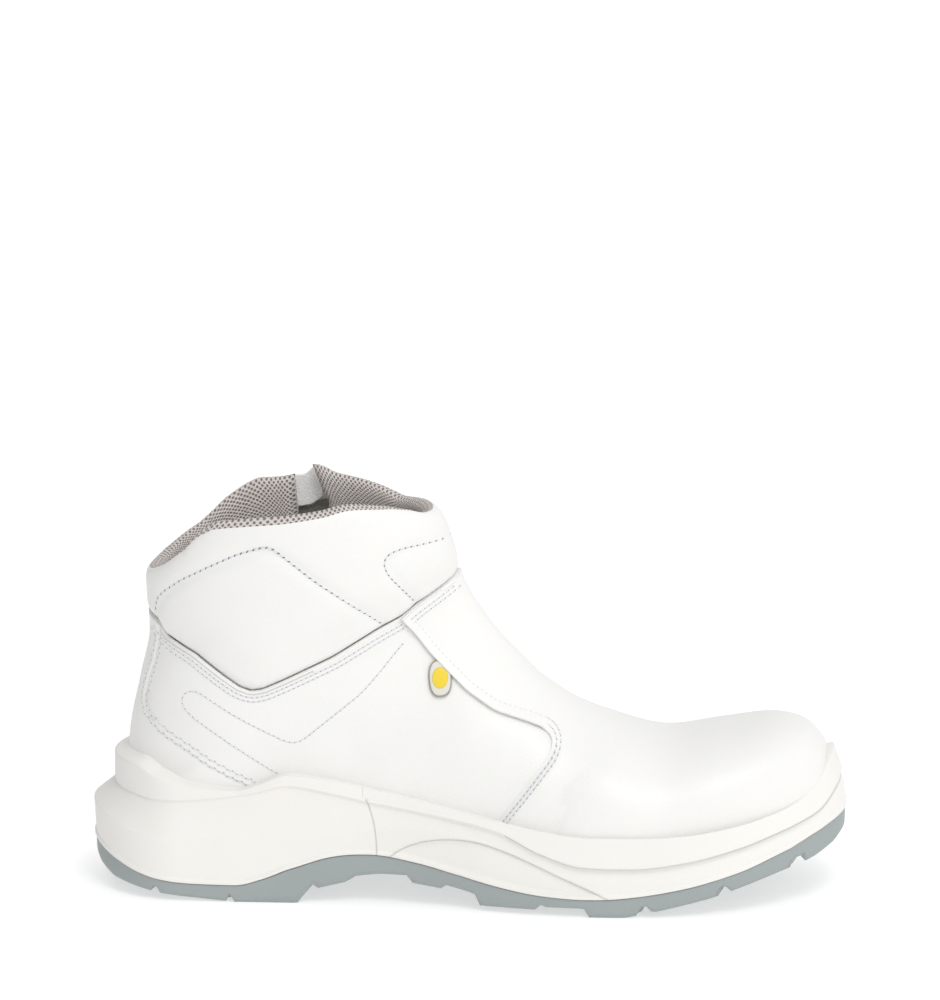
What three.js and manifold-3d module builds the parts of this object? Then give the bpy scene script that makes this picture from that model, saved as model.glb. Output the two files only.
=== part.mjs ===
// Slip-on safety boot for a right foot, in millimetres, +X to the toe, +Z up, lateral side at -Y.
import * as THREE from "three";
import { mergeVertices } from "three/addons/utils/BufferGeometryUtils.js";
import Module from "manifold-3d";

const wasm = await Module();
wasm.setup();

// Driving dimensions
const soleLength = 301;
const shaftHeight = 160;
const soleHalfWidth = 51.5;
const soleLedge = 2.5;
const lastHalfWidth = soleHalfWidth - soleLedge;
const rimHeight = 52;
const heelFlare = 8.5;
const heelRound = 38;
const toeRound = 60;
const heelRoundPower = 2.1;
const toeRoundPower = 2.3;
const wallThickness = 2.2;
const overlayStep = 1.0;
const fitGap = 0.3;
const lastingMargin = 8;
const padThickness = 8;
const padPuff = 2.4;
const endPuff = 0.25;
const cuffTuck = 7;
const cuffSeamGap = 0.8;
const slitWidth = 7;
const slitDepth = 42;
const slitPlace = 0.281;
const insoleThickness = 4.5;
const toeSpring = 25;
const grooveWidth = 4;
const grooveDepth = 3.6;
const grooveSweep = 0.2;
const channelWidth = 6;
const lugRound = 1.2;
const lensStep = 1.1;
const flapWidth = 38;
const flapThickness = 1.8;
const tapeThickness = 0.9;
const tapeWidth = 22;
const tabWidth = 10;
const tabLength = 13;
const tabThickness = 0.7;
const discWidth = 6.6;
const discHeight = 8;
const discThickness = 0.5;
const domeShare = 0.55;
const halfSteps = 14;
const sectionStep = 0.75;
const soleSteps = 30;

const colours = {
  outsole: { color: 0xa3adae, roughness: 0.75, metalness: 0 },
  midsole: { color: 0xf2f0ea, roughness: 0.6, metalness: 0 },
  insole: { color: 0x8f8b86, roughness: 0.95, metalness: 0 },
  upper: { color: 0xeeece7, roughness: 0.5, metalness: 0 },
  cuff: { color: 0xf1efe9, roughness: 0.55, metalness: 0 },
  flap: { color: 0xebe9e3, roughness: 0.55, metalness: 0 },
  tape: { color: 0x80857a, roughness: 0.95, metalness: 0 },
  tab: { color: 0xe4e3de, roughness: 0.5, metalness: 0 },
  disc: { color: 0xf5d625, roughness: 0.45, metalness: 0 },
};

// A table is a list of rows under named columns
function table(columns, rows) {
  const names = columns.split(" ");
  return rows.map((row) => Object.fromEntries(names.map((name, i) => [name, row[i]])));
}

// Sections of the last from the toe to the collar. Each plane runs across the boot through a top
// point on the ridge and a low point on the feather line or the back seam. x is a share of
// soleLength, z of shaftHeight, wide, end and mid of lastHalfWidth; at is where the section is widest.
const lastRows = table("topX topZ lowX lowZ wide at end dome base mid", [
  [0.973, 0.320, 0.968, 0.240, 0.16, 0.60, 0.12, 2.6, 3.0, 0.13],
  [0.970, 0.352, 0.959, 0.215, 0.42, 0.65, 0.36, 2.6, 3.0, 0.12],
  [0.959, 0.380, 0.945, 0.200, 0.56, 0.68, 0.50, 2.6, 3.0, 0.11],
  [0.940, 0.407, 0.924, 0.186, 0.68, 0.70, 0.62, 2.6, 3.0, 0.10],
  [0.902, 0.419, 0.882, 0.162, 0.82, 0.72, 0.75, 2.6, 3.0, 0.08],
  [0.837, 0.404, 0.817, 0.136, 0.93, 0.74, 0.86, 2.5, 3.0, 0.04],
  [0.770, 0.387, 0.750, 0.117, 0.985, 0.75, 0.91, 2.4, 3.0, 0.01],
  [0.700, 0.415, 0.670, 0.113, 1.0, 0.76, 0.92, 2.3, 3.0, -0.01],
  [0.648, 0.457, 0.592, 0.125, 0.93, 0.77, 0.86, 2.15, 3.0, -0.03],
  [0.603, 0.521, 0.515, 0.147, 0.83, 0.78, 0.75, 2.05, 3.0, -0.05],
  [0.575, 0.573, 0.432, 0.169, 0.76, 0.78, 0.67, 2.0, 3.0, -0.06],
  [0.551, 0.617, 0.346, 0.184, 0.70, 0.78, 0.62, 2.0, 3.0, -0.06],
  [0.531, 0.658, 0.253, 0.190, 0.68, 0.76, 0.61, 2.0, 3.0, -0.04],
  [0.517, 0.692, 0.166, 0.190, 0.68, 0.72, 0.60, 2.0, 2.8, -0.02],
  [0.505, 0.725, 0.100, 0.190, 0.68, 0.68, 0.53, 2.0, 2.6, -0.01],
  [0.497, 0.750, 0.060, 0.203, 0.685, 0.64, 0.31, 2.0, 2.4, 0],
  [0.492, 0.768, 0.048, 0.240, 0.69, 0.60, 0, 2.0, 2.3, 0],
  [0.488, 0.787, 0.0475, 0.315, 0.695, 0.58, 0, 2.0, 2.3, 0],
  [0.485, 0.811, 0.0525, 0.410, 0.70, 0.55, 0, 2.0, 2.2, 0],
  [0.481, 0.843, 0.066, 0.525, 0.71, 0.52, 0, 2.0, 2.2, 0],
  [0.475, 0.880, 0.078, 0.640, 0.72, 0.50, 0, 2.0, 2.1, 0],
  [0.467, 0.920, 0.076, 0.725, 0.74, 0.50, 0, 2.05, 2.1, 0],
  [0.456, 0.956, 0.074, 0.795, 0.75, 0.50, 0, 2.1, 2.1, 0],
  [0.444, 0.990, 0.072, 0.880, 0.76, 0.50, 0, 2.15, 2.1, 0],
  [0.432, 1.035, 0.070, 1.000, 0.765, 0.50, 0, 2.15, 2.1, 0],
]);
const lastSection = lastRows.length - 1;

// Lines on the side of the upper, x as a share of soleLength and z of shaftHeight
const cuffEdge = table("x z", [
  [-0.10, 0.690], [0.076, 0.690], [0.090, 0.672], [0.106, 0.640], [0.140, 0.612], [0.179, 0.560],
  [0.205, 0.530], [0.217, 0.526], [0.229, 0.531], [0.259, 0.556], [0.319, 0.610], [0.375, 0.671],
  [0.409, 0.705], [0.435, 0.738], [0.482, 0.787], [0.486, 0.797], [1.10, 0.797],
]);
const vampEdge = table("x z", [
  [0.400, 0.900], [0.410, 0.700], [0.435, 0.634], [0.470, 0.569], [0.495, 0.529], [0.532, 0.484],
  [0.578, 0.455], [0.604, 0.425], [0.606, 0.400], [0.585, 0.350], [0.535, 0.230], [0.498, -0.05],
]);
const counterEdge = table("x z", [
  [0.093, 0.800], [0.092, 0.644], [0.085, 0.581], [0.078, 0.537], [0.071, 0.487], [0.076, 0.446],
  [0.090, 0.424], [0.106, 0.401], [0.132, 0.378], [0.158, 0.347], [0.189, 0.316], [0.219, 0.294],
  [0.266, 0.200], [0.266, -0.05],
]);
const collarRim = table("x z", [
  [0, 0.800], [0.073, 0.806], [0.100, 0.838], [0.133, 0.898], [0.150, 0.938], [0.173, 0.960],
  [0.219, 0.973], [0.269, 0.981], [0.316, 0.994], [0.352, 1.008], [0.402, 0.998], [0.425, 0.984],
  [0.445, 0.972], [0.500, 0.965],
]);

// Half width of the sole before its round ends and sideways bow of its middle line, + is medial;
// x is a share of soleLength, half and bow of soleHalfWidth
const solePlan = table("x half bow", [
  [0, 0.76, 0], [0.13, 0.79, 0], [0.20, 0.785, -0.02], [0.33, 0.765, -0.06], [0.40, 0.78, -0.06],
  [0.47, 0.845, -0.05], [0.54, 0.93, -0.04], [0.62, 1.015, -0.02], [0.70, 1.05, 0], [0.78, 1.04, 0.02],
  [0.85, 0.99, 0.05], [0.92, 0.93, 0.09], [1, 0.88, 0.13],
]);

// Side of the midsole, from the rim at the upper down to the seam with the outsole. Heights are
// shares of rimHeight, that of the seam of toeSpring, and insets from the widest outline of heelFlare.
const soleSide = table("x rimZ rimIn lipZ lipIn hollowIn blockZ blockIn seamZ seamIn", [
  [0.000, 1.010, 1.00, 0.790, 1.00, 1.02, 0.650, 0.00, 0.78, 0.08],
  [0.050, 0.960, 0.82, 0.780, 0.82, 0.86, 0.550, 0.00, 0.52, 0.08],
  [0.090, 0.910, 0.60, 0.765, 0.58, 0.66, 0.500, 0.00, 0.37, 0.08],
  [0.140, 0.880, 0.40, 0.770, 0.36, 0.48, 0.510, 0.03, 0.30, 0.08],
  [0.200, 0.880, 0.36, 0.755, 0.26, 0.42, 0.500, 0.10, 0.29, 0.12],
  [0.230, 0.925, 0.34, 0.845, 0.24, 0.36, 0.480, 0.16, 0.37, 0.16],
  [0.270, 1.000, 0.32, 0.925, 0.22, 0.34, 0.490, 0.20, 0.56, 0.22],
  [0.330, 0.960, 0.32, 0.873, 0.20, 0.34, 0.530, 0.20, 0.78, 0.32],
  [0.380, 0.905, 0.32, 0.810, 0.18, 0.32, 0.605, 0.20, 0.82, 0.42],
  [0.440, 0.836, 0.30, 0.758, 0.16, 0.30, 0.615, 0.18, 0.72, 0.42],
  [0.500, 0.754, 0.26, 0.704, 0.12, 0.30, 0.577, 0.18, 0.56, 0.34],
  [0.550, 0.700, 0.22, 0.625, 0.08, 0.24, 0.460, 0.20, 0.43, 0.24],
  [0.600, 0.640, 0.20, 0.460, 0.04, 0.20, 0.346, 0.18, 0.34, 0.18],
  [0.660, 0.596, 0.20, 0.358, 0.00, 0.18, 0.270, 0.17, 0.30, 0.17],
  [0.720, 0.592, 0.20, 0.350, 0.00, 0.18, 0.270, 0.17, 0.34, 0.17],
  [0.800, 0.610, 0.22, 0.404, 0.00, 0.18, 0.327, 0.17, 0.48, 0.17],
  [0.870, 0.673, 0.25, 0.500, 0.00, 0.18, 0.423, 0.17, 0.67, 0.17],
  [0.930, 0.770, 0.30, 0.610, 0.00, 0.18, 0.540, 0.17, 0.90, 0.15],
  [0.970, 0.904, 0.42, 0.710, 0.05, 0.20, 0.635, 0.14, 1.09, 0.10],
  [1.000, 1.096, 0.60, 0.904, 0.20, 0.32, 0.790, 0.10, 1.27, 0.02],
]);
const lipUndercut = 1.4;

// Tread height over the floor as a share of toeSpring, flat under heel and ball
const treadRows = table("x z", [
  [0, 0.450], [0.012, 0.260], [0.030, 0.150], [0.060, 0.110], [0.100, 0.045], [0.133, 0], [0.715, 0],
  [0.760, 0.110], [0.830, 0.340], [0.917, 0.620], [0.960, 0.780], [0.990, 0.950], [1, 1],
]);
const archRows = table("x z", [
  [0.279, -0.10], [0.286, 0.180], [0.342, 0.345], [0.382, 0.470], [0.419, 0.480], [0.464, 0.330],
  [0.512, 0.300], [0.522, -0.10],
]);
const heelGrooves = [0.083, 0.186];
const foreGrooves = [0.600, 0.668, 0.738, 0.830, 0.918];
const lensLine = table("x z", [
  [0.409, 0.415], [0.430, 0.485], [0.452, 0.527], [0.480, 0.552], [0.508, 0.558], [0.532, 0.530],
  [0.555, 0.488], [0.590, 0.405], [0.625, 0.300], [0.665, 0.195],
]);

// Smooth value of a column at a fractional row
function smoothAt(rows, column, place) {
  const last = rows.length - 1;
  const k = Math.min(Math.max(Math.floor(place), 0), last - 1);
  const f = place - k;
  const value = (i) => rows[Math.min(Math.max(i, 0), last)][column];
  const rise = value(k + 1) - value(k);
  const slope = (a, b) => (a * b <= 0 ? 0 : Math.sign(a) * Math.min(Math.abs(a + b) / 2, 3 * Math.min(Math.abs(a), Math.abs(b))));
  const before = k === 0 ? rise : value(k) - value(k - 1);
  const after = k === last - 1 ? rise : value(k + 2) - value(k + 1);
  const m0 = slope(before, rise);
  const m1 = slope(rise, after);
  const f2 = f * f;
  const f3 = f2 * f;
  return value(k) * (2 * f3 - 3 * f2 + 1) + m0 * (f3 - 2 * f2 + f)
    + value(k + 1) * (3 * f2 - 2 * f3) + m1 * (f3 - f2);
}

// Straight-line value of a column at x, in the table's own shares
function valueAt(rows, column, x) {
  let k = 0;
  while (k < rows.length - 2 && x > rows[k + 1].x) k += 1;
  const f = Math.min(Math.max((x - rows[k].x) / (rows[k + 1].x - rows[k].x), 0), 1);
  return rows[k][column] + f * (rows[k + 1][column] - rows[k][column]);
}

// Smooth value of a column at x, in the table's own shares
function smoothValueAt(rows, column, x) {
  let k = 0;
  while (k < rows.length - 2 && x > rows[k + 1].x) k += 1;
  const f = Math.min(Math.max((x - rows[k].x) / (rows[k + 1].x - rows[k].x), 0), 1);
  return smoothAt(rows, column, k + f);
}

// The section's height along its chord and half width for t from 0 on the ridge to 1 below
function sectionCurve(row, t) {
  const blunt = (value, power) => Math.pow(Math.max(value, 0), 2 / power);
  if (t <= domeShare) {
    const angle = (Math.PI / 2) * (t / domeShare);
    return {
      down: row.at * (1 - blunt(Math.cos(angle), row.dome)),
      half: row.wide * blunt(Math.sin(angle), row.dome),
    };
  }
  const angle = (Math.PI / 2) * ((t - domeShare) / (1 - domeShare));
  return {
    down: row.at + (1 - row.at) * blunt(Math.sin(angle), row.base),
    half: row.end + (row.wide - row.end) * blunt(Math.cos(angle), row.base),
  };
}

// Point of the last: s is the section, t runs from -1 lateral over 0 at the ridge to +1 medial
function lastSurface(s, t) {
  const row = {};
  for (const column of Object.keys(lastRows[0])) row[column] = smoothAt(lastRows, column, s);
  const curve = sectionCurve(row, Math.abs(t));
  return new THREE.Vector3(
    soleLength * (row.topX + (row.lowX - row.topX) * curve.down),
    lastHalfWidth * (row.mid + Math.sign(t) * curve.half),
    shaftHeight * (row.topZ + (row.lowZ - row.topZ) * curve.down),
  );
}

function lastNormal(s, t) {
  const step = 0.02;
  const s0 = Math.max(s - step, 0);
  const s1 = Math.min(s + step, lastSection);
  const t0 = Math.max(t - step, -1 + step / 4);
  const t1 = Math.min(t + step, 1 - step / 4);
  const along = lastSurface(s1, t).sub(lastSurface(s0, t));
  const around = lastSurface(s, t1).sub(lastSurface(s, t0));
  return along.cross(around).negate().normalize();
}

function lastPoint(s, t, lift) {
  const point = lastSurface(s, t).addScaledVector(lastNormal(s, t), lift);
  if (s === 0) point.x += lift;
  return point;
}

// One closed body from rings of points, closed at both ends by rungs across the ring
function tubeGeometry(rings) {
  const count = rings[0].length;
  const positions = rings.flat().flatMap((p) => [p.x, p.y, p.z]);
  const faces = [];
  const quad = (a, b, c, d) => faces.push([a, b, c], [a, c, d]);
  for (let k = 0; k < rings.length - 1; k += 1) {
    for (let j = 0; j < count; j += 1) {
      const next = (j + 1) % count;
      quad(k * count + j, k * count + next, (k + 1) * count + next, (k + 1) * count + j);
    }
  }
  const end = (rings.length - 1) * count;
  for (let j = 0; j < count / 2 - 1; j += 1) {
    quad(j, count - 1 - j, count - 2 - j, j + 1);
    quad(end + j + 1, end + count - 2 - j, end + count - 1 - j, end + j);
  }
  return closedGeometry(positions, faces);
}

// Ring-shaped body: each cross section is a loop of points, and the last meets the first
function hoopGeometry(loops) {
  const count = loops[0].length;
  const positions = loops.flat().flatMap((p) => [p.x, p.y, p.z]);
  const faces = [];
  for (let k = 0; k < loops.length; k += 1) {
    const far = (k + 1) % loops.length;
    for (let j = 0; j < count; j += 1) {
      const next = (j + 1) % count;
      const [a, b] = [k * count + j, k * count + next];
      const [c, d] = [far * count + next, far * count + j];
      faces.push([a, b, c], [a, c, d]);
    }
  }
  return closedGeometry(positions, faces);
}

// Shared corners are merged, flat slivers dropped, and the faces turned to point out
function closedGeometry(positions, faces) {
  const loose = new THREE.BufferGeometry();
  loose.setAttribute("position", new THREE.Float32BufferAttribute(positions, 3));
  loose.setIndex(faces.flat());
  const merged = mergeVertices(loose, 1e-3);
  const index = merged.index.array;
  const place = merged.attributes.position;
  const kept = [];
  let volume = 0;
  const corner = (i) => new THREE.Vector3().fromBufferAttribute(place, i);
  for (let i = 0; i < index.length; i += 3) {
    const [a, b, c] = [index[i], index[i + 1], index[i + 2]];
    if (a === b || b === c || a === c) continue;
    kept.push([a, b, c]);
    volume += corner(a).dot(corner(b).cross(corner(c)));
  }
  merged.setIndex(kept.map(([a, b, c]) => (volume < 0 ? [a, c, b] : [a, b, c])).flat());
  return merged;
}

function solidOf(geometry) {
  const bare = geometry.clone();
  for (const name of Object.keys(bare.attributes)) if (name !== "position") bare.deleteAttribute(name);
  const merged = mergeVertices(bare, 1e-4);
  return new wasm.Manifold(new wasm.Mesh({
    numProp: 3,
    vertProperties: new Float32Array(merged.attributes.position.array),
    triVerts: new Uint32Array(merged.index.array),
  }));
}

function geometryOf(solid) {
  const mesh = solid.getMesh();
  const geometry = new THREE.BufferGeometry();
  geometry.setAttribute("position", new THREE.Float32BufferAttribute(mesh.vertProperties, 3));
  geometry.setIndex(Array.from(mesh.triVerts));
  return geometry;
}

// A prism across the boot from an outline in the side view
function sidePrism(points, yFrom, yTo) {
  const shape = new THREE.Shape(points.map(([x, z]) => new THREE.Vector2(x, z)));
  const geometry = new THREE.ExtrudeGeometry(shape, { depth: yTo - yFrom, bevelEnabled: false });
  geometry.rotateX(Math.PI / 2);
  geometry.translate(0, yTo, 0);
  return solidOf(geometry);
}

const acrossAll = 90;
const scaled = (rows, depth = shaftHeight) => rows.map((row) => [row.x * soleLength, row.z * depth]);

const tStops = Array.from({ length: 2 * halfSteps + 1 }, (_, i) => i / halfSteps - 1);
const sStops = Array.from({ length: Math.floor(lastSection / sectionStep) + 1 }, (_, i) => i * sectionStep);

function lastSolid(lift) {
  return solidOf(tubeGeometry(sStops.map((s) => tStops.map((t) => lastPoint(s, t, lift)))));
}

// Outer form of the upper with its vamp and counter overlays, grown by a clearance
function upperForm(grow) {
  const far = soleLength * 1.2;
  const high = shaftHeight * 1.2;
  const grown = (points, shift) => points.map(([x, z]) => [x + shift, z]);
  const vamp = sidePrism([...grown(scaled(vampEdge), -grow), [far, -high], [far, high]], -acrossAll, acrossAll);
  const counter = sidePrism(
    [...grown(scaled(counterEdge), grow), [-far, -high], [-far, high]], -acrossAll, acrossAll);
  const raised = lastSolid(overlayStep + grow);
  return lastSolid(grow).add(raised.intersect(vamp)).add(raised.intersect(counter));
}

// Loop around the feather line, set in from its edge and lifted
function featherLoop(inset, sFrom, sTo, steps, heightAt) {
  const stops = Array.from({ length: steps + 1 }, (_, i) => sTo + ((sFrom - sTo) * i) / steps);
  const side = (sign, list) => list.map((s) => {
    const edge = lastSurface(s, sign);
    const mid = lastHalfWidth * smoothAt(lastRows, "mid", s);
    return new THREE.Vector3(edge.x, mid + sign * Math.max(Math.abs(edge.y - mid) - inset, 1), heightAt(edge));
  });
  return [...side(-1, stops), ...side(1, [...stops].reverse())];
}

function upperSolid() {
  const opening = solidOf(tubeGeometry([-shaftHeight, 0.27 * shaftHeight].map((z) => (
    featherLoop(lastingMargin, 1.4, 14.6, 18, () => z)))));
  const below = sidePrism([...scaled(cuffEdge), [soleLength * 1.1, -rimHeight], [-0.1 * soleLength, -rimHeight]],
    -acrossAll, acrossAll);
  return upperForm(0).intersect(below).subtract(lastSolid(-wallThickness)).subtract(opening);
}

// Section number at which the last's surface crosses a line of the side view
function crossing(t, heightAt) {
  let low = 16;
  let high = lastSection;
  for (let i = 0; i < 24; i += 1) {
    const s = (low + high) / 2;
    const p = lastSurface(s, t);
    if (p.z < shaftHeight * heightAt(p.x / soleLength)) low = s;
    else high = s;
  }
  return (low + high) / 2;
}

// Cross section of the padded cuff: rise runs from 0 at its lower edge to 1 at the rim, tuck is a
// length below the edge, and out is the distance from the last's surface
const cuffProfile = table("rise tuck out", [
  [0, cuffTuck, -wallThickness - 3 * fitGap],
  [0, 0, -wallThickness - 3 * fitGap],
  [0, -cuffSeamGap, -fitGap],
  [0.14, 0, padPuff * 0.5],
  [0.36, 0, padPuff],
  [0.66, 0, padPuff],
  [0.88, 0, padPuff * 0.7],
  [0.97, 0, padPuff * 0.1],
  [1.00, 0, -padThickness * 0.36],
  [0.97, 0, -padThickness * 0.72],
  [0.85, 0, -padThickness],
  [0.40, 0, -padThickness],
  [0, 0, -padThickness * 0.9],
  [0, cuffTuck, -padThickness * 0.75],
]);

function cuffPoint(t, rise, tuck, out) {
  const edge = crossing(t, (x) => valueAt(cuffEdge, "z", x));
  const rim = crossing(t, (x) => smoothValueAt(collarRim, "z", x));
  const span = lastSurface(rim, t).distanceTo(lastSurface(edge, t));
  const s = edge + (rim - edge) * (rise - tuck / span);
  const plump = out > 0 ? endPuff + (1 - endPuff) * Math.sin(Math.PI * Math.abs(t)) : 1;
  return lastPoint(s, t, out * plump);
}

function cuffSolid() {
  const around = Array.from({ length: 4 * halfSteps }, (_, i) => i / (2 * halfSteps) - 1);
  const ring = solidOf(hoopGeometry(around.map((t) => (
    cuffProfile.map((row) => cuffPoint(t, row.rise, row.tuck, row.out))))));
  const mid = slitPlace * soleLength;
  const top = 1.1 * shaftHeight;
  const foot = shaftHeight - slitDepth;
  const slit = sidePrism([
    [mid - slitWidth / 2, top], [mid - slitWidth / 4, foot], [mid + slitWidth / 4, foot],
    [mid + slitWidth / 2, top],
  ], 1, acrossAll);
  return ring.subtract(slit);
}

// Place on the medial side of the shaft at x, for a rise between the cuff's edge and rim
function medialPlace(x, rise) {
  let low = 0.15;
  let high = 0.9;
  for (let i = 0; i < 24; i += 1) {
    const t = (low + high) / 2;
    if (cuffPoint(t, rise, 0, 0).x > x) low = t;
    else high = t;
  }
  return (low + high) / 2;
}

// A patch over the medial side of the cuff, between two distances from the last
function cuffPatch(xFrom, xTo, riseFrom, riseTo, inner, outer, across, up) {
  const rings = Array.from({ length: across + 1 }, (_, i) => {
    const x = xFrom + ((xTo - xFrom) * i) / across;
    const rises = Array.from({ length: up + 1 }, (__, j) => riseFrom + ((riseTo - riseFrom) * j) / up);
    const column = (out, list) => list.map((rise) => cuffPoint(medialPlace(x, rise), rise, 0, out));
    return [...column(outer, rises), ...column(inner, [...rises].reverse())];
  });
  return solidOf(tubeGeometry(rings));
}

const tapeInner = padPuff + fitGap;
const flapInner = tapeInner + tapeThickness + fitGap;

function closureTape() {
  const mid = slitPlace * soleLength;
  return cuffPatch(mid - tapeWidth / 2, mid + tapeWidth / 2, 0.42, 0.93, tapeInner, tapeInner + tapeThickness, 5, 5);
}

function closureFlap() {
  const mid = slitPlace * soleLength;
  return cuffPatch(mid - flapWidth / 2, mid + flapWidth / 2, 0.32, 0.95, flapInner, flapInner + flapThickness, 8, 6);
}

// Where the lateral surface of the last passes through a point of the side view
function lateralPlace(x, z) {
  let s = 12;
  let t = -0.5;
  const step = 1e-3;
  for (let i = 0; i < 60; i += 1) {
    const p = lastSurface(s, t);
    const ds = lastSurface(s + step, t).sub(p).divideScalar(step);
    const dt = lastSurface(s, t + step).sub(p).divideScalar(step);
    const det = ds.x * dt.z - ds.z * dt.x;
    const [ex, ez] = [x - p.x, z - p.z];
    s += Math.min(Math.max((ex * dt.z - ez * dt.x) / det, -1), 1);
    t += Math.min(Math.max((ds.x * ez - ds.z * ex) / det, -0.1), 0.1);
    s = Math.min(Math.max(s, 1), lastSection - 1);
    t = Math.min(Math.max(t, -0.97), -0.03);
  }
  return { s, t };
}

const tabCentre = { x: 0.464 * soleLength, z: 0.556 * shaftHeight };
const tabLean = 0.12;

// The tab lies on the quarter with its top under the vamp's edge
function sideTab() {
  const steps = 4;
  const ring = (v) => {
    const line = Array.from({ length: steps + 1 }, (_, i) => (i / steps - 0.5) * tabWidth);
    const place = (u, lift) => {
      const x = tabCentre.x + u * Math.cos(tabLean) - v * Math.sin(tabLean);
      const z = tabCentre.z + u * Math.sin(tabLean) + v * Math.cos(tabLean);
      const { s, t } = lateralPlace(x, z);
      return lastPoint(s, t, lift);
    };
    const outer = overlayStep + fitGap + tabThickness;
    return [
      ...line.map((u) => place(u, outer)),
      ...[...line].reverse().map((u) => place(u, overlayStep + fitGap)),
    ];
  };
  const rows = Array.from({ length: steps + 1 }, (_, i) => (i / steps - 0.5) * tabLength);
  return solidOf(tubeGeometry(rows.map(ring)));
}

function tabDisc() {
  const { s, t } = lateralPlace(tabCentre.x, tabCentre.z);
  const lift = overlayStep + 2 * fitGap + tabThickness + discThickness / 2;
  const geometry = new THREE.CylinderGeometry(0.5, 0.5, discThickness, 24);
  geometry.rotateX(Math.PI / 2);
  geometry.scale(discWidth, discHeight, 1);
  geometry.rotateZ(tabLean);
  const facing = new THREE.Matrix4().lookAt(lastNormal(s, t), new THREE.Vector3(), new THREE.Vector3(0, 0, 1));
  geometry.applyMatrix4(facing);
  geometry.translate(...lastPoint(s, t, lift).toArray());
  return solidOf(geometry);
}

// Half width of the sole's widest outline at x
function soleHalf(x) {
  const share = x / soleLength;
  let half = soleHalfWidth * smoothValueAt(solePlan, "half", share);
  if (x < heelRound) {
    half *= Math.pow(Math.max(1 - Math.pow(1 - x / heelRound, heelRoundPower), 0), 1 / heelRoundPower);
  }
  const front = (x - (soleLength - toeRound)) / toeRound;
  if (front > 0) half *= Math.pow(Math.max(1 - Math.pow(front, toeRoundPower), 0), 1 / toeRoundPower);
  return half;
}

function soleEdge(x, sign) {
  return new THREE.Vector2(x, soleHalfWidth * smoothValueAt(solePlan, "bow", x / soleLength) + sign * soleHalf(x));
}

// Stations from heel to toe, closer together where the outline turns
const soleStops = Array.from({ length: soleSteps + 1 }, (_, i) => (
  soleLength * (0.5 - 0.5 * Math.cos((Math.PI * i) / soleSteps))));

// Point of the sole's side at a station, set in square to the outline
function solePoint(x, sign, inset, z) {
  const step = 0.4;
  const [x0, x1] = [Math.max(x - step, 0), Math.min(x + step, soleLength)];
  const along = soleEdge(x1, sign).sub(soleEdge(x0, sign)).normalize();
  const out = x <= 0 ? [-1, 0] : x >= soleLength ? [1, 0] : [-sign * along.y, sign * along.x];
  const edge = soleEdge(x, sign);
  return new THREE.Vector3(edge.x - out[0] * inset, edge.y - out[1] * inset, z);
}

// A body of the sole from levels, each with its own height and inset along the length
function soleLoft(levels) {
  const back = [...soleStops].reverse();
  return solidOf(tubeGeometry(levels.map((level) => [
    ...soleStops.map((x) => solePoint(x, -1, level.inset(x), level.height(x))),
    ...back.map((x) => solePoint(x, 1, level.inset(x), level.height(x))),
  ])));
}

const sideZ = (column) => (x) => rimHeight * smoothValueAt(soleSide, column, x / soleLength);
const sideIn = (column) => (x) => heelFlare * smoothValueAt(soleSide, column, x / soleLength);
const seamZ = (x) => toeSpring * smoothValueAt(soleSide, "seamZ", x / soleLength);
const hollowZ = (x) => sideZ("lipZ")(x) - lipUndercut * (x / soleLength < 0.1 ? 0.3 : 1);

const midsoleLevels = [
  { height: sideZ("rimZ"), inset: sideIn("rimIn") },
  { height: sideZ("lipZ"), inset: sideIn("lipIn") },
  { height: hollowZ, inset: sideIn("hollowIn") },
  { height: sideZ("blockZ"), inset: sideIn("blockIn") },
  { height: seamZ, inset: sideIn("seamIn") },
];

// The lens under the curved line on each side of the waist is sunk into the side by a small step
function lensSolid() {
  const line = new THREE.SplineCurve(scaled(lensLine, rimHeight).map(([x, z]) => new THREE.Vector2(x, z)));
  const top = line.getPoints(2 * lensLine.length).map((p) => [p.x, p.y]);
  const below = [[top.at(-1)[0], -rimHeight], [top[0][0], -rimHeight]];
  const sunk = midsoleLevels.map((level) => ({ ...level, inset: (x) => level.inset(x) + lensStep }));
  return sidePrism([...top, ...below], -acrossAll, acrossAll).subtract(soleLoft(sunk));
}

function midsoleSolid() {
  const body = soleLoft(midsoleLevels).subtract(lensSolid());
  return body.subtract(soleLoft(outsoleLevels(fitGap))).subtract(upperForm(fitGap));
}

const treadZ = (x) => toeSpring * valueAt(treadRows, "z", x / soleLength);

function outsoleLevels(grow) {
  const seam = (x) => seamZ(x) - fitGap + grow;
  return [
    { height: seam, inset: (x) => sideIn("seamIn")(x) - grow },
    { height: (x) => Math.min(treadZ(x) + 2 * lugRound, seam(x) - 0.5), inset: (x) => sideIn("seamIn")(x) + 0.3 - grow },
    { height: (x) => treadZ(x), inset: (x) => sideIn("seamIn")(x) + lugRound + 0.6 - grow },
  ];
}

// A chevron groove across the tread that follows its slope
function grooveSolid(share) {
  const x = share * soleLength;
  const slope = Math.atan2(treadZ(x + grooveWidth) - treadZ(x - grooveWidth), 2 * grooveWidth);
  const arm = (sign) => {
    const geometry = new THREE.BoxGeometry(grooveWidth, acrossAll, 2 * grooveDepth);
    geometry.translate(0, (sign * acrossAll) / 2, 0);
    geometry.rotateZ(sign * grooveSweep);
    geometry.translate(soleHalfWidth * Math.tan(grooveSweep), 0, 0);
    geometry.rotateY(-slope);
    geometry.translate(x, 0, treadZ(x));
    return solidOf(geometry);
  };
  return arm(-1).add(arm(1));
}

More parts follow.
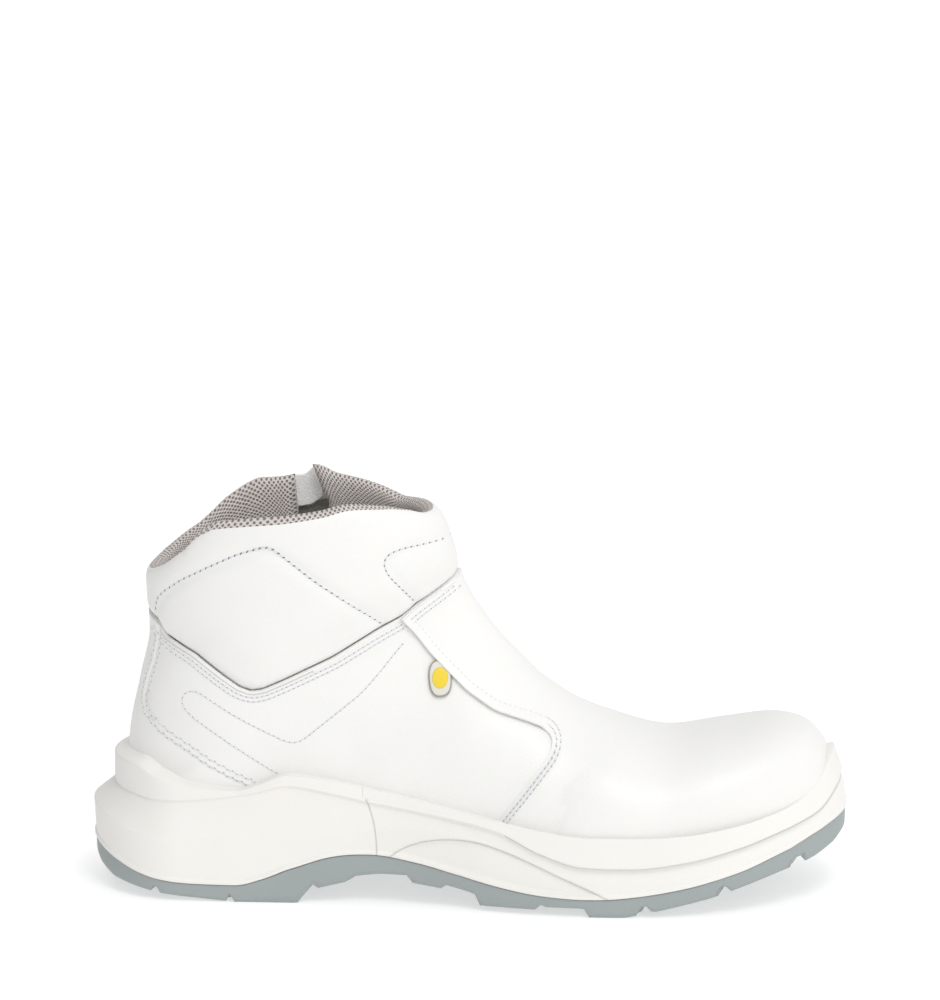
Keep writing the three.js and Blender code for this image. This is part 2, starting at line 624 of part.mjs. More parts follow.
function outsoleSolid() {
  const arch = sidePrism(scaled(archRows, toeSpring), -acrossAll, acrossAll);
  let body = soleLoft(outsoleLevels(0)).subtract(arch);
  for (const share of [...heelGrooves, ...foreGrooves]) body = body.subtract(grooveSolid(share));
  const channel = new THREE.BoxGeometry(soleLength * 0.9, channelWidth, 2 * grooveDepth);
  channel.translate(soleLength / 2, 0, 0);
  return body.subtract(solidOf(channel));
}

function insoleSolid() {
  const stops = Array.from({ length: 20 }, (_, i) => 1.5 + (12.9 * i) / 19);
  const slab = solidOf(tubeGeometry(stops.map((s) => {
    const edge = lastSurface(s, -1);
    const mid = lastHalfWidth * smoothAt(lastRows, "mid", s);
    const half = Math.abs(edge.y - mid) - wallThickness * 0.6;
    const floor = edge.z + wallThickness + 2 * fitGap;
    const point = (across, up) => new THREE.Vector3(edge.x, mid + across * half, floor + up * insoleThickness);
    return [point(-0.94, 0), point(-1, 0.5), point(-0.96, 1), point(-0.5, 0.85), point(0.5, 0.85), point(0.96, 1),
      point(1, 0.5), point(0.94, 0)];
  })));
  return slab.intersect(lastSolid(-wallThickness - 2 * fitGap));
}

function part(name, solid, look) {
  const mesh = new THREE.Mesh(geometryOf(solid), new THREE.MeshStandardMaterial(look));
  mesh.name = name;
  return mesh;
}

const boot = new THREE.Group();
boot.add(
  part("outsole", outsoleSolid(), colours.outsole),
  part("midsole", midsoleSolid(), colours.midsole),
  part("insole", insoleSolid(), colours.insole),
  part("upper", upperSolid(), colours.upper),
  part("cuff", cuffSolid(), colours.cuff),
  part("closure_flap", closureFlap(), colours.flap),
  part("closure_tape", closureTape(), colours.tape),
  part("side_tab", sideTab(), colours.tab),
  part("tab_disc", tabDisc(), colours.disc),
);

const box = new THREE.Box3().setFromObject(boot);
const centre = box.getCenter(new THREE.Vector3());
boot.position.set(-centre.x, -centre.y, -box.min.z);

export default boot;
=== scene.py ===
import math
import bmesh
import bpy
import numpy as np
from mathutils import Matrix, Vector


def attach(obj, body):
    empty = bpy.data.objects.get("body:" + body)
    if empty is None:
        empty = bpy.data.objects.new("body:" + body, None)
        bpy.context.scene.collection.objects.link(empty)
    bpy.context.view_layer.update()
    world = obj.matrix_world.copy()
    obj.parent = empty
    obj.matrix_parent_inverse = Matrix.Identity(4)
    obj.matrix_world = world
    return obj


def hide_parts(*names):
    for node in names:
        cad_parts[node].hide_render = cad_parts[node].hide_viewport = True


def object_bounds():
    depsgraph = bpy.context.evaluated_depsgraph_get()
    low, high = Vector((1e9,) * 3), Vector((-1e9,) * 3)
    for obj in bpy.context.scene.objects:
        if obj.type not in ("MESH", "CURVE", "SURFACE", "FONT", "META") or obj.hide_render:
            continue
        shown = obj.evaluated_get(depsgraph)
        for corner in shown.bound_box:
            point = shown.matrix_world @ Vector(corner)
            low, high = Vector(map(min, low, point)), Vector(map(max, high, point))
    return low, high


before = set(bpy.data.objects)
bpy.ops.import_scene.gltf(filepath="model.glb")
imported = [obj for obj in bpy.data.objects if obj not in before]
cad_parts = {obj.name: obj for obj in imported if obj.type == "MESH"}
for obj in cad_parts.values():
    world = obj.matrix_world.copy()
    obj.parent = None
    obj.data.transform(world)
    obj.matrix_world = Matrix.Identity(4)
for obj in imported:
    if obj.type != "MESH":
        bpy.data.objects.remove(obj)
cad_lo, cad_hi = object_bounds()

# Sizes in millimetres, in the boot's own frame: x from the heel's back, y + medial, z from the floor
SOLE_LENGTH = 301.0
SHAFT_HEIGHT = 160.0
SOLE_HALF_WIDTH = 51.5
LAST_HALF_WIDTH = SOLE_HALF_WIDTH - 2.5
RIM_HEIGHT = 52.0
HEEL_FLARE = 8.5
HEEL_ROUND = 38.0
TOE_ROUND = 60.0
HEEL_POWER = 2.1
TOE_POWER = 2.3
TOE_SPRING = 25.0
WALL = 2.2
OVERLAY_STEP = 1.0
FIT_GAP = 0.3
PAD_THICKNESS = 8.0
PAD_PUFF = 2.4
END_PUFF = 0.25
SLIT_X = 0.2725 * SOLE_LENGTH
SLIT_FOOT = SHAFT_HEIGHT - 42.0
SLIT_WIDTH = 7.2
FLAP_WIDTH = 38.0
TAPE_WIDTH = 22.0
DOME_SHARE = 0.55
LENS_STEP = 1.1
GROOVE_SWEEP = 0.2
SHIFT = np.array([cad_lo.x * 1000.0, -0.26, 0.0])


def table(columns, rows):
    """Named columns of a table as arrays."""
    return dict(zip(columns.split(), np.array(rows, float).T))


# Sections of the last from the toe to the collar, as in the part
LAST = table("topX topZ lowX lowZ wide at end dome base mid", [
    [0.973, 0.320, 0.968, 0.240, 0.16, 0.60, 0.12, 2.6, 3.0, 0.13],
    [0.970, 0.352, 0.959, 0.215, 0.42, 0.65, 0.36, 2.6, 3.0, 0.12],
    [0.959, 0.380, 0.945, 0.200, 0.56, 0.68, 0.50, 2.6, 3.0, 0.11],
    [0.940, 0.407, 0.924, 0.186, 0.68, 0.70, 0.62, 2.6, 3.0, 0.10],
    [0.902, 0.419, 0.882, 0.162, 0.82, 0.72, 0.75, 2.6, 3.0, 0.08],
    [0.837, 0.404, 0.817, 0.136, 0.93, 0.74, 0.86, 2.5, 3.0, 0.04],
    [0.770, 0.387, 0.750, 0.117, 0.985, 0.75, 0.91, 2.4, 3.0, 0.01],
    [0.700, 0.415, 0.670, 0.113, 1.0, 0.76, 0.92, 2.3, 3.0, -0.01],
    [0.648, 0.457, 0.592, 0.125, 0.93, 0.77, 0.86, 2.15, 3.0, -0.03],
    [0.603, 0.521, 0.515, 0.147, 0.83, 0.78, 0.75, 2.05, 3.0, -0.05],
    [0.575, 0.573, 0.432, 0.169, 0.76, 0.78, 0.67, 2.0, 3.0, -0.06],
    [0.551, 0.617, 0.346, 0.184, 0.70, 0.78, 0.62, 2.0, 3.0, -0.06],
    [0.531, 0.658, 0.253, 0.190, 0.68, 0.76, 0.61, 2.0, 3.0, -0.04],
    [0.517, 0.692, 0.166, 0.190, 0.68, 0.72, 0.60, 2.0, 2.8, -0.02],
    [0.505, 0.725, 0.100, 0.190, 0.68, 0.68, 0.53, 2.0, 2.6, -0.01],
    [0.497, 0.750, 0.060, 0.203, 0.685, 0.64, 0.31, 2.0, 2.4, 0],
    [0.492, 0.768, 0.048, 0.240, 0.69, 0.60, 0, 2.0, 2.3, 0],
    [0.488, 0.787, 0.0475, 0.315, 0.695, 0.58, 0, 2.0, 2.3, 0],
    [0.485, 0.811, 0.0525, 0.410, 0.70, 0.55, 0, 2.0, 2.2, 0],
    [0.481, 0.843, 0.066, 0.525, 0.71, 0.52, 0, 2.0, 2.2, 0],
    [0.475, 0.880, 0.078, 0.640, 0.72, 0.50, 0, 2.0, 2.1, 0],
    [0.467, 0.920, 0.076, 0.725, 0.74, 0.50, 0, 2.05, 2.1, 0],
    [0.456, 0.956, 0.074, 0.795, 0.75, 0.50, 0, 2.1, 2.1, 0],
    [0.444, 0.990, 0.072, 0.880, 0.76, 0.50, 0, 2.15, 2.1, 0],
    [0.432, 1.035, 0.070, 1.000, 0.765, 0.50, 0, 2.15, 2.1, 0],
])
LAST_END = len(LAST["topX"]) - 1.0

# Lines on the side of the upper, x as a share of the sole's length and z of the shaft's height
CUFF_EDGE = table("x z", [
    [-0.10, 0.690], [0.076, 0.690], [0.092, 0.672], [0.106, 0.643], [0.145, 0.613], [0.186, 0.561],
    [0.206, 0.537], [0.222, 0.527], [0.238, 0.532], [0.267, 0.556], [0.329, 0.611], [0.383, 0.672],
    [0.417, 0.705], [0.442, 0.739], [0.482, 0.787], [0.486, 0.797], [1.10, 0.797],
])
COLLAR_RIM = table("x z", [
    [0, 0.795], [0.073, 0.801], [0.100, 0.829], [0.133, 0.881], [0.150, 0.920], [0.173, 0.948],
    [0.219, 0.962], [0.269, 0.971], [0.316, 0.984], [0.352, 0.998], [0.402, 0.989], [0.425, 0.977],
    [0.445, 0.962], [0.500, 0.958],
])
MEDIAL_RIM = table("x z", [
    [0, 0.795], [0.073, 0.801], [0.090, 0.824], [0.112, 0.852], [0.131, 0.874], [0.144, 0.896],
    [0.160, 0.924], [0.177, 0.946], [0.190, 0.962], [0.211, 0.978], [0.227, 0.979], [0.244, 0.982],
    [0.260, 0.988], [0.270, 0.990], [0.279, 1.006], [0.286, 1.014], [0.300, 1.010], [0.316, 0.997],
    [0.335, 0.991], [0.359, 0.985], [0.376, 0.977], [0.394, 0.966], [0.413, 0.956], [0.440, 0.962],
    [0.500, 0.960],
])
VAMP_EDGE = table("x z", [
    [0.415, 0.705], [0.421, 0.690], [0.434, 0.661], [0.455, 0.612], [0.479, 0.568], [0.503, 0.527],
    [0.526, 0.499], [0.541, 0.482], [0.565, 0.468], [0.588, 0.453], [0.603, 0.442], [0.614, 0.427],
    [0.618, 0.410], [0.614, 0.386], [0.597, 0.345], [0.547, 0.225], [0.528, 0.170],
])
COUNTER_EDGE = table("x z", [
    [0.096, 0.665], [0.095, 0.643], [0.093, 0.615], [0.089, 0.579], [0.082, 0.537], [0.076, 0.499],
    [0.074, 0.471], [0.080, 0.446], [0.095, 0.422], [0.114, 0.400], [0.138, 0.377], [0.165, 0.346],
    [0.196, 0.316], [0.229, 0.290], [0.262, 0.215],
])
CUFF_SEAM_BACK = table("x z", [
    [0.091, 0.680], [0.094, 0.729], [0.103, 0.755], [0.130, 0.797], [0.168, 0.839], [0.205, 0.875],
    [0.238, 0.896], [0.249, 0.899], [0.262, 0.882], [0.314, 0.802], [0.365, 0.733], [0.400, 0.682],
])
CUFF_SEAM_FRONT = table("x z", [
    [0.478, 0.886], [0.452, 0.886], [0.424, 0.884], [0.404, 0.878], [0.395, 0.866], [0.393, 0.850],
    [0.398, 0.822], [0.409, 0.797], [0.438, 0.735],
])
QUILT_LINE = table("x z", [
    [0.262, 0.317], [0.244, 0.334], [0.211, 0.373], [0.176, 0.417], [0.142, 0.459], [0.131, 0.478],
    [0.129, 0.497], [0.133, 0.513], [0.143, 0.522], [0.155, 0.516], [0.173, 0.496], [0.196, 0.470],
    [0.223, 0.442], [0.247, 0.419], [0.267, 0.402], [0.277, 0.398], [0.289, 0.405], [0.330, 0.467],
    [0.365, 0.520], [0.391, 0.575], [0.411, 0.623], [0.422, 0.645],
])

# The sole's plan and the profile of its side, as in the part
SOLE_PLAN = table("x half bow", [
    [0, 0.76, 0], [0.13, 0.79, 0], [0.20, 0.785, -0.02], [0.33, 0.765, -0.06], [0.40, 0.78, -0.06],
    [0.47, 0.845, -0.05], [0.54, 0.93, -0.04], [0.62, 1.015, -0.02], [0.70, 1.05, 0], [0.78, 1.04, 0.02],
    [0.85, 0.99, 0.05], [0.92, 0.93, 0.09], [1, 0.88, 0.13],
])
SOLE_SIDE = table("x rimZ rimIn lipZ lipIn hollowIn blockZ blockIn seamZ seamIn", [
    [0.000, 1.015, 1.00, 0.800, 1.00, 1.04, 0.650, 0.00, 0.78, 0.08],
    [0.050, 1.010, 0.82, 0.785, 0.82, 0.88, 0.550, 0.00, 0.52, 0.08],
    [0.090, 0.945, 0.60, 0.775, 0.58, 0.68, 0.500, 0.00, 0.37, 0.08],
    [0.140, 0.885, 0.42, 0.785, 0.40, 0.50, 0.510, 0.03, 0.30, 0.08],
    [0.200, 0.865, 0.36, 0.828, 0.34, 0.42, 0.500, 0.10, 0.29, 0.12],
    [0.230, 0.915, 0.34, 0.868, 0.26, 0.36, 0.480, 0.16, 0.37, 0.16],
    [0.270, 1.000, 0.32, 0.925, 0.22, 0.34, 0.490, 0.20, 0.56, 0.22],
    [0.330, 0.960, 0.32, 0.873, 0.20, 0.34, 0.530, 0.20, 0.78, 0.32],
    [0.380, 0.905, 0.32, 0.810, 0.18, 0.32, 0.605, 0.20, 0.82, 0.42],
    [0.440, 0.836, 0.30, 0.758, 0.16, 0.30, 0.615, 0.18, 0.72, 0.42],
    [0.500, 0.760, 0.26, 0.704, 0.12, 0.30, 0.577, 0.18, 0.56, 0.34],
    [0.550, 0.715, 0.22, 0.640, 0.08, 0.26, 0.460, 0.20, 0.43, 0.24],
    [0.600, 0.668, 0.20, 0.500, 0.04, 0.24, 0.346, 0.18, 0.34, 0.18],
    [0.660, 0.628, 0.20, 0.400, 0.00, 0.24, 0.290, 0.17, 0.30, 0.17],
    [0.720, 0.626, 0.20, 0.392, 0.00, 0.24, 0.290, 0.17, 0.34, 0.17],
    [0.800, 0.645, 0.22, 0.446, 0.00, 0.24, 0.340, 0.17, 0.50, 0.17],
    [0.870, 0.702, 0.25, 0.540, 0.00, 0.24, 0.440, 0.17, 0.72, 0.17],
    [0.930, 0.785, 0.30, 0.645, 0.00, 0.24, 0.555, 0.17, 0.98, 0.15],
    [0.970, 0.904, 0.42, 0.735, 0.05, 0.24, 0.645, 0.14, 1.19, 0.10],
    [1.000, 1.090, 0.60, 0.910, 0.20, 0.36, 0.795, 0.10, 1.34, 0.02],
])
TREAD = table("x z", [
    [0, 0.480], [0.012, 0.330], [0.030, 0.240], [0.060, 0.180], [0.100, 0.110], [0.133, 0.070],
    [0.200, 0], [0.500, 0], [0.530, 0.09], [0.600, 0.09], [0.608, 0.14], [0.656, 0.14], [0.664, 0],
    [0.715, 0], [0.760, 0.110], [0.830, 0.300], [0.917, 0.600], [0.960, 0.725], [0.990, 0.870],
    [1, 0.950],
])
ARCH = table("x z", [
    [0.279, -0.10], [0.284, 0.03], [0.304, 0.31], [0.308, 0.24], [0.350, 0.36], [0.357, 0.445],
    [0.391, 0.495], [0.428, 0.490], [0.433, 0.37], [0.472, 0.31], [0.477, 0.375], [0.517, 0.27],
    [0.529, -0.10],
])
# Grooves across the tread: x is a share of the sole's length, width and depth are millimetres
GROOVES = table("x width depth", [
    [0.084, 2.8, 2.2], [0.187, 2.6, 2.8], [0.604, 1.8, 1.4], [0.660, 1.8, 2.8], [0.742, 4.6, 3.0],
    [0.841, 3.8, 3.4], [0.927, 5.2, 3.0],
])
SPLIT_LINE = table("x z", [
    [0.372, 0.870], [0.376, 0.810], [0.383, 0.720], [0.388, 0.610], [0.388, 0.380],
])
LENS_LINE = table("x z", [
    [0.398, 0.350], [0.409, 0.410], [0.430, 0.485], [0.452, 0.527], [0.480, 0.552], [0.508, 0.558],
    [0.532, 0.530], [0.555, 0.488], [0.590, 0.412], [0.625, 0.318], [0.665, 0.220], [0.700, 0.130],
])


def smooth_at(values, place):
    """Smooth value of a column at a fractional row, without overshoot."""
    last = len(values) - 1
    k = np.clip(np.floor(place).astype(int), 0, last - 1)
    f = place - k
    rise = values[k + 1] - values[k]
    before = np.where(k == 0, rise, values[k] - values[np.maximum(k - 1, 0)])
    after = np.where(k == last - 1, rise, values[np.minimum(k + 2, last)] - values[k + 1])

    def slope(a, b):
        gentle = np.minimum(np.abs(a + b) / 2, 3 * np.minimum(np.abs(a), np.abs(b)))
        return np.where(a * b <= 0, 0.0, np.sign(a) * gentle)

    f2, f3 = f * f, f * f * f
    return (values[k] * (2 * f3 - 3 * f2 + 1) + slope(before, rise) * (f3 - 2 * f2 + f)
            + values[k + 1] * (3 * f2 - 2 * f3) + slope(rise, after) * (f3 - f2))


def smooth_value(tab, column, x):
    """Smooth value of a column at x, in the table's own shares."""
    xs = tab["x"]
    k = np.clip(np.searchsorted(xs, x, side="left") - 1, 0, len(xs) - 2)
    f = np.clip((x - xs[k]) / (xs[k + 1] - xs[k]), 0, 1)
    return smooth_at(tab[column], k + f)


def line_value(tab, x):
    """Height of a line of the side view at x, both as shares."""
    return np.interp(x, tab["x"], tab["z"])


def ramp(value, low, high):
    """0 below low and 1 above high, smooth between."""
    f = np.clip((value - low) / (high - low), 0, 1)
    return f * f * (3 - 2 * f)


def last_surface(s, t):
    """Point of the last: s is the section, t runs from -1 lateral over 0 at the ridge to 1 medial."""
    row = {name: smooth_at(column, s) for name, column in LAST.items()}
    a = np.abs(t)
    high = (np.pi / 2) * np.clip(a / DOME_SHARE, 0, 1)
    low = (np.pi / 2) * np.clip((a - DOME_SHARE) / (1 - DOME_SHARE), 0, 1)

    def blunt(value, power):
        return np.maximum(value, 0) ** (2 / power)

    top = a <= DOME_SHARE
    down = np.where(top, row["at"] * (1 - blunt(np.cos(high), row["dome"])),
                    row["at"] + (1 - row["at"]) * blunt(np.sin(low), row["base"]))
    half = np.where(top, row["wide"] * blunt(np.sin(high), row["dome"]),
                    row["end"] + (row["wide"] - row["end"]) * blunt(np.cos(low), row["base"]))
    return np.stack([
        SOLE_LENGTH * (row["topX"] + (row["lowX"] - row["topX"]) * down),
        LAST_HALF_WIDTH * (row["mid"] + np.sign(t) * half),
        SHAFT_HEIGHT * (row["topZ"] + (row["lowZ"] - row["topZ"]) * down),
    ], axis=-1)


def last_normal(s, t):
    step = 0.02
    along = last_surface(np.clip(s + step, 0, LAST_END), t) - last_surface(np.clip(s - step, 0, LAST_END), t)
    t0 = np.maximum(t - step, -1 + step / 4)
    t1 = np.minimum(t + step, 1 - step / 4)
    around = last_surface(s, t1) - last_surface(s, t0)
    normal = -np.cross(along, around)
    return normal / np.maximum(np.linalg.norm(normal, axis=-1, keepdims=True), 1e-9)


def last_point(s, t, lift):
    """Point at a distance out from the last. A section below 0 closes the toe."""
    inside = np.clip(s, 0, LAST_END)
    lift = np.broadcast_to(lift, np.shape(s))[..., None]
    point = last_surface(inside, t) + last_normal(inside, t) * lift
    shrink = np.clip(-s, 0, 1)[..., None]
    centre = np.array([0.9705 * SOLE_LENGTH, 0.13 * LAST_HALF_WIDTH, 0.28 * SHAFT_HEIGHT])
    return point + (centre - point) * shrink


def crossing(t, height_at):
    """Section number at which the last's surface crosses a line of the side view."""
    low = np.full(np.shape(t), 16.0)
    high = np.full(np.shape(t), LAST_END)
    for _ in range(24):
        s = (low + high) / 2
        p = last_surface(s, t)
        below = p[..., 2] < SHAFT_HEIGHT * height_at(p[..., 0] / SOLE_LENGTH)
        low = np.where(below, s, low)
        high = np.where(below, high, s)
    return (low + high) / 2


T_STOPS = np.linspace(-1, 1, 801)
EDGE_STOPS = crossing(T_STOPS, lambda x: line_value(CUFF_EDGE, x))
RIM_STOPS = np.where(T_STOPS > 0, crossing(T_STOPS, lambda x: smooth_value(MEDIAL_RIM, "z", x)),
                     crossing(T_STOPS, lambda x: smooth_value(COLLAR_RIM, "z", x)))
SPAN_STOPS = np.linalg.norm(last_surface(RIM_STOPS, T_STOPS) - last_surface(EDGE_STOPS, T_STOPS), axis=-1)


def edge_s(t):
    return np.interp(t, T_STOPS, EDGE_STOPS)


def rim_s(t):
    return np.interp(t, T_STOPS, RIM_STOPS)


def span_at(t):
    return np.interp(t, T_STOPS, SPAN_STOPS)


SEED_S, SEED_T = [g.ravel() for g in np.meshgrid(np.linspace(0.5, 23.5, 93), np.linspace(-0.985, -0.02, 90))]
SEED_P = last_surface(SEED_S, SEED_T)


def lateral_place(x, z):
    """Section and place around it where the lateral side passes through points of the side view."""
    x, z = np.atleast_1d(x).astype(float), np.atleast_1d(z).astype(float)
    gap = (SEED_P[:, 0][None] - x[:, None]) ** 2 + (SEED_P[:, 2][None] - z[:, None]) ** 2
    near = np.argmin(gap, axis=1)
    s, t = SEED_S[near].copy(), SEED_T[near].copy()
    step = 1e-3
    for _ in range(14):
        p = last_surface(s, t)
        ds = (last_surface(s + step, t) - p) / step
        dt = (last_surface(s, t + step) - p) / step
        det = ds[:, 0] * dt[:, 2] - ds[:, 2] * dt[:, 0]
        det = np.where(np.abs(det) < 1e-6, 1e-6, det)
        ex, ez = x - p[:, 0], z - p[:, 2]
        s = np.clip(s + np.clip((ex * dt[:, 2] - ez * dt[:, 0]) / det, -0.3, 0.3), 0.3, LAST_END - 0.2)
        t = np.clip(t + np.clip((ds[:, 0] * ez - ds[:, 2] * ex) / det, -0.03, 0.03), -0.995, -0.01)
    return s, t


def line_points(line, depth=SHAFT_HEIGHT, pitch=0.5):
    """Points of a line of the side view in millimetres, evenly spaced and softly rounded."""
    rows = np.stack([line["x"] * SOLE_LENGTH, line["z"] * depth], axis=-1)
    length = np.concatenate([[0], np.cumsum(np.linalg.norm(np.diff(rows, axis=0), axis=-1))])
    count = max(int(length[-1] / pitch), 4)
    stops = np.linspace(0, length[-1], count)
    points = np.stack([np.interp(stops, length, rows[:, 0]), np.interp(stops, length, rows[:, 1])], axis=-1)
    for _ in range(24):
        points[1:-1] = (points[:-2] + 2 * points[1:-1] + points[2:]) / 4
    return points


def side_distance(points, line):
    """Signed distance in the side view from points to a line, + to its left."""
    ends = line[1:] - line[:-1]
    best = np.full(len(points), 1e9)
    signed = np.zeros(len(points))
    for start, run in zip(line[:-1], ends):
        rel = points[:, [0, 2]] - start
        f = np.clip((rel @ run) / (run @ run), 0, 1)
        off = rel - f[:, None] * run
        gap = np.hypot(off[:, 0], off[:, 1])
        side = np.sign(run[0] * rel[:, 1] - run[1] * rel[:, 0])
        closer = gap < best
        best = np.where(closer, gap, best)
        signed = np.where(closer, gap * side, signed)
    return signed


def to_frame(points):
    return (points + SHIFT) / 1000.0


def link(mesh, name, *materials):
    piece = bpy.data.objects.new(name, mesh)
    bpy.context.scene.collection.objects.link(piece)
    for material in materials:
        mesh.materials.append(material)
    mesh.shade_smooth()
    return piece


def belongs(piece, node):
    """The piece stands for a node of the part: it hangs under the root, and the node's own mesh is hidden."""
    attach(piece, "root")
    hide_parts(node)
    return piece


def sheet_mesh(name, across, along, place, inward=False):
    """A grid whose corners u and w from 0 to 1 are moved to their places on the boot, and closed where they meet."""
    bm = bmesh.new()
    bmesh.ops.create_grid(bm, x_segments=across, y_segments=along, size=0.5)
    mesh = bpy.data.meshes.new(name)
    bm.to_mesh(mesh)
    flat = np.empty(len(mesh.vertices) * 3)
    mesh.vertices.foreach_get("co", flat)
    grid = flat.reshape(-1, 3)
    u, w = grid[:, 0] + 0.5, grid[:, 1] + 0.5
    points = to_frame(place(u, w))
    mesh.vertices.foreach_set("co", points.ravel())
    layer = mesh.uv_layers.new(name="UVMap")
    corner = np.empty(len(mesh.loops), int)
    mesh.loops.foreach_get("vertex_index", corner)
    layer.data.foreach_set("uv", np.stack([u, w], axis=-1)[corner].ravel())
    bm.clear()
    bm.from_mesh(mesh)
    bmesh.ops.remove_doubles(bm, verts=bm.verts, dist=2e-6)
    bmesh.ops.dissolve_degenerate(bm, edges=bm.edges, dist=1e-7)
    bmesh.ops.recalc_face_normals(bm, faces=bm.faces)
    centre = sum((v.co for v in bm.verts), Vector()) / len(bm.verts)
    facing = sum((f.calc_center_median() - centre).dot(f.normal) * f.calc_area() for f in bm.faces)
    if (facing < 0) != inward:
        bmesh.ops.reverse_faces(bm, faces=bm.faces)
    bm.to_mesh(mesh)
    bm.free()
    return mesh


def coords(mesh):
    flat = np.empty(len(mesh.vertices) * 3)
    mesh.vertices.foreach_get("co", flat)
    return flat.reshape(-1, 3) * 1000.0 - SHIFT


def store(mesh, name, values):
    """A value of each corner for the material to read."""
    layer = mesh.attributes.new(name, "FLOAT", "POINT")
    layer.data.foreach_set("value", np.asarray(values, float))


def store_line(mesh, name, distance, shown):
    """Signed distance to a line, kept well away from 0 where the line doesn't run."""
    store(mesh, name, np.where(shown, distance, distance + 9.0 * np.where(distance < 0, -1, 1)))


def thicken(piece, thickness, lining=0):
    wall = piece.modifiers.new("wall", "SOLIDIFY")
    wall.thickness = thickness / 1000.0
    wall.offset = -1
    wall.use_even_offset = False
    wall.material_offset = lining


# Materials

def new_group(name, inputs, outputs):
    group = bpy.data.node_groups.new(name, "ShaderNodeTree")
    for label, kind, value in inputs:
        socket = group.interface.new_socket(label, in_out="INPUT", socket_type=kind)
        if value is not None:
            socket.default_value = value
    for label, kind in outputs:
        group.interface.new_socket(label, in_out="OUTPUT", socket_type=kind)
    return group, group.nodes.new("NodeGroupInput"), group.nodes.new("NodeGroupOutput")


def math_node(tree, kind, a, b=0.0, clamp=False):
    node = tree.nodes.new("ShaderNodeMath")
    node.operation = kind
    node.use_clamp = clamp
    for socket, value in zip(node.inputs, (a, b)):
        if isinstance(value, (int, float)):
            socket.default_value = value
        else:
            tree.links.new(value, socket)
    return node.outputs[0]


def noise(tree, vector, scale, detail=2.0, rough=0.5):
    node = tree.nodes.new("ShaderNodeTexNoise")
    node.inputs["Scale"].default_value = scale
    node.inputs["Detail"].default_value = detail
    node.inputs["Roughness"].default_value = rough
    tree.links.new(vector, node.inputs["Vector"])
    return node.outputs["Fac"]


def grain_group():
    """Fine grain of coated leather or moulded rubber: a height and a slow tone."""
    group, enter, leave = new_group(
        "fine_grain",
        [("Vector", "NodeSocketVector", None), ("Scale", "NodeSocketFloat", 900.0)],
        [("Height", "NodeSocketFloat"), ("Tone", "NodeSocketFloat")],
    )
    cells = group.nodes.new("ShaderNodeTexVoronoi")
    group.links.new(enter.outputs["Vector"], cells.inputs["Vector"])
    group.links.new(enter.outputs["Scale"], cells.inputs["Scale"])
    fine = group.nodes.new("ShaderNodeTexNoise")
    group.links.new(enter.outputs["Vector"], fine.inputs["Vector"])
    group.links.new(math_node(group, "MULTIPLY", enter.outputs["Scale"], 1.7), fine.inputs["Scale"])
    height = math_node(group, "ADD", cells.outputs["Distance"], math_node(group, "MULTIPLY", fine.outputs["Fac"], 0.6))
    group.links.new(height, leave.inputs["Height"])
    group.links.new(noise(group, enter.outputs["Vector"], 22.0, 4.0), leave.inputs["Tone"])
    return group


def line_group():
    """Mask of a narrow groove, from the signed distance to its line in millimetres."""
    group, enter, leave = new_group(
        "groove_line",
        [("Distance", "NodeSocketFloat", 0.0), ("Half Width", "NodeSocketFloat", 0.4)],
        [("Mask", "NodeSocketFloat")],
    )
    away = math_node(group, "ABSOLUTE", enter.outputs["Distance"])
    share = math_node(group, "DIVIDE", away, enter.outputs["Half Width"])
    squared = math_node(group, "MULTIPLY", share, share)
    fall = math_node(group, "POWER", 0.36, squared)
    group.links.new(fall, leave.inputs["Mask"])
    return group


GRAIN = grain_group()
GROOVE_LINE = line_group()


def groove_mask(tree, lines):
    """Strongest mask of the named lines, each with its half width in millimetres."""
    total = None
    for label, half in lines:
        source = tree.nodes.new("ShaderNodeAttribute")
        source.attribute_name = label
        line = tree.nodes.new("ShaderNodeGroup")
        line.node_tree = GROOVE_LINE
        line.inputs["Half Width"].default_value = half
        tree.links.new(source.outputs["Fac"], line.inputs["Distance"])
        mask = line.outputs["Mask"]
        total = mask if total is None else math_node(tree, "MAXIMUM", total, mask)
    return total


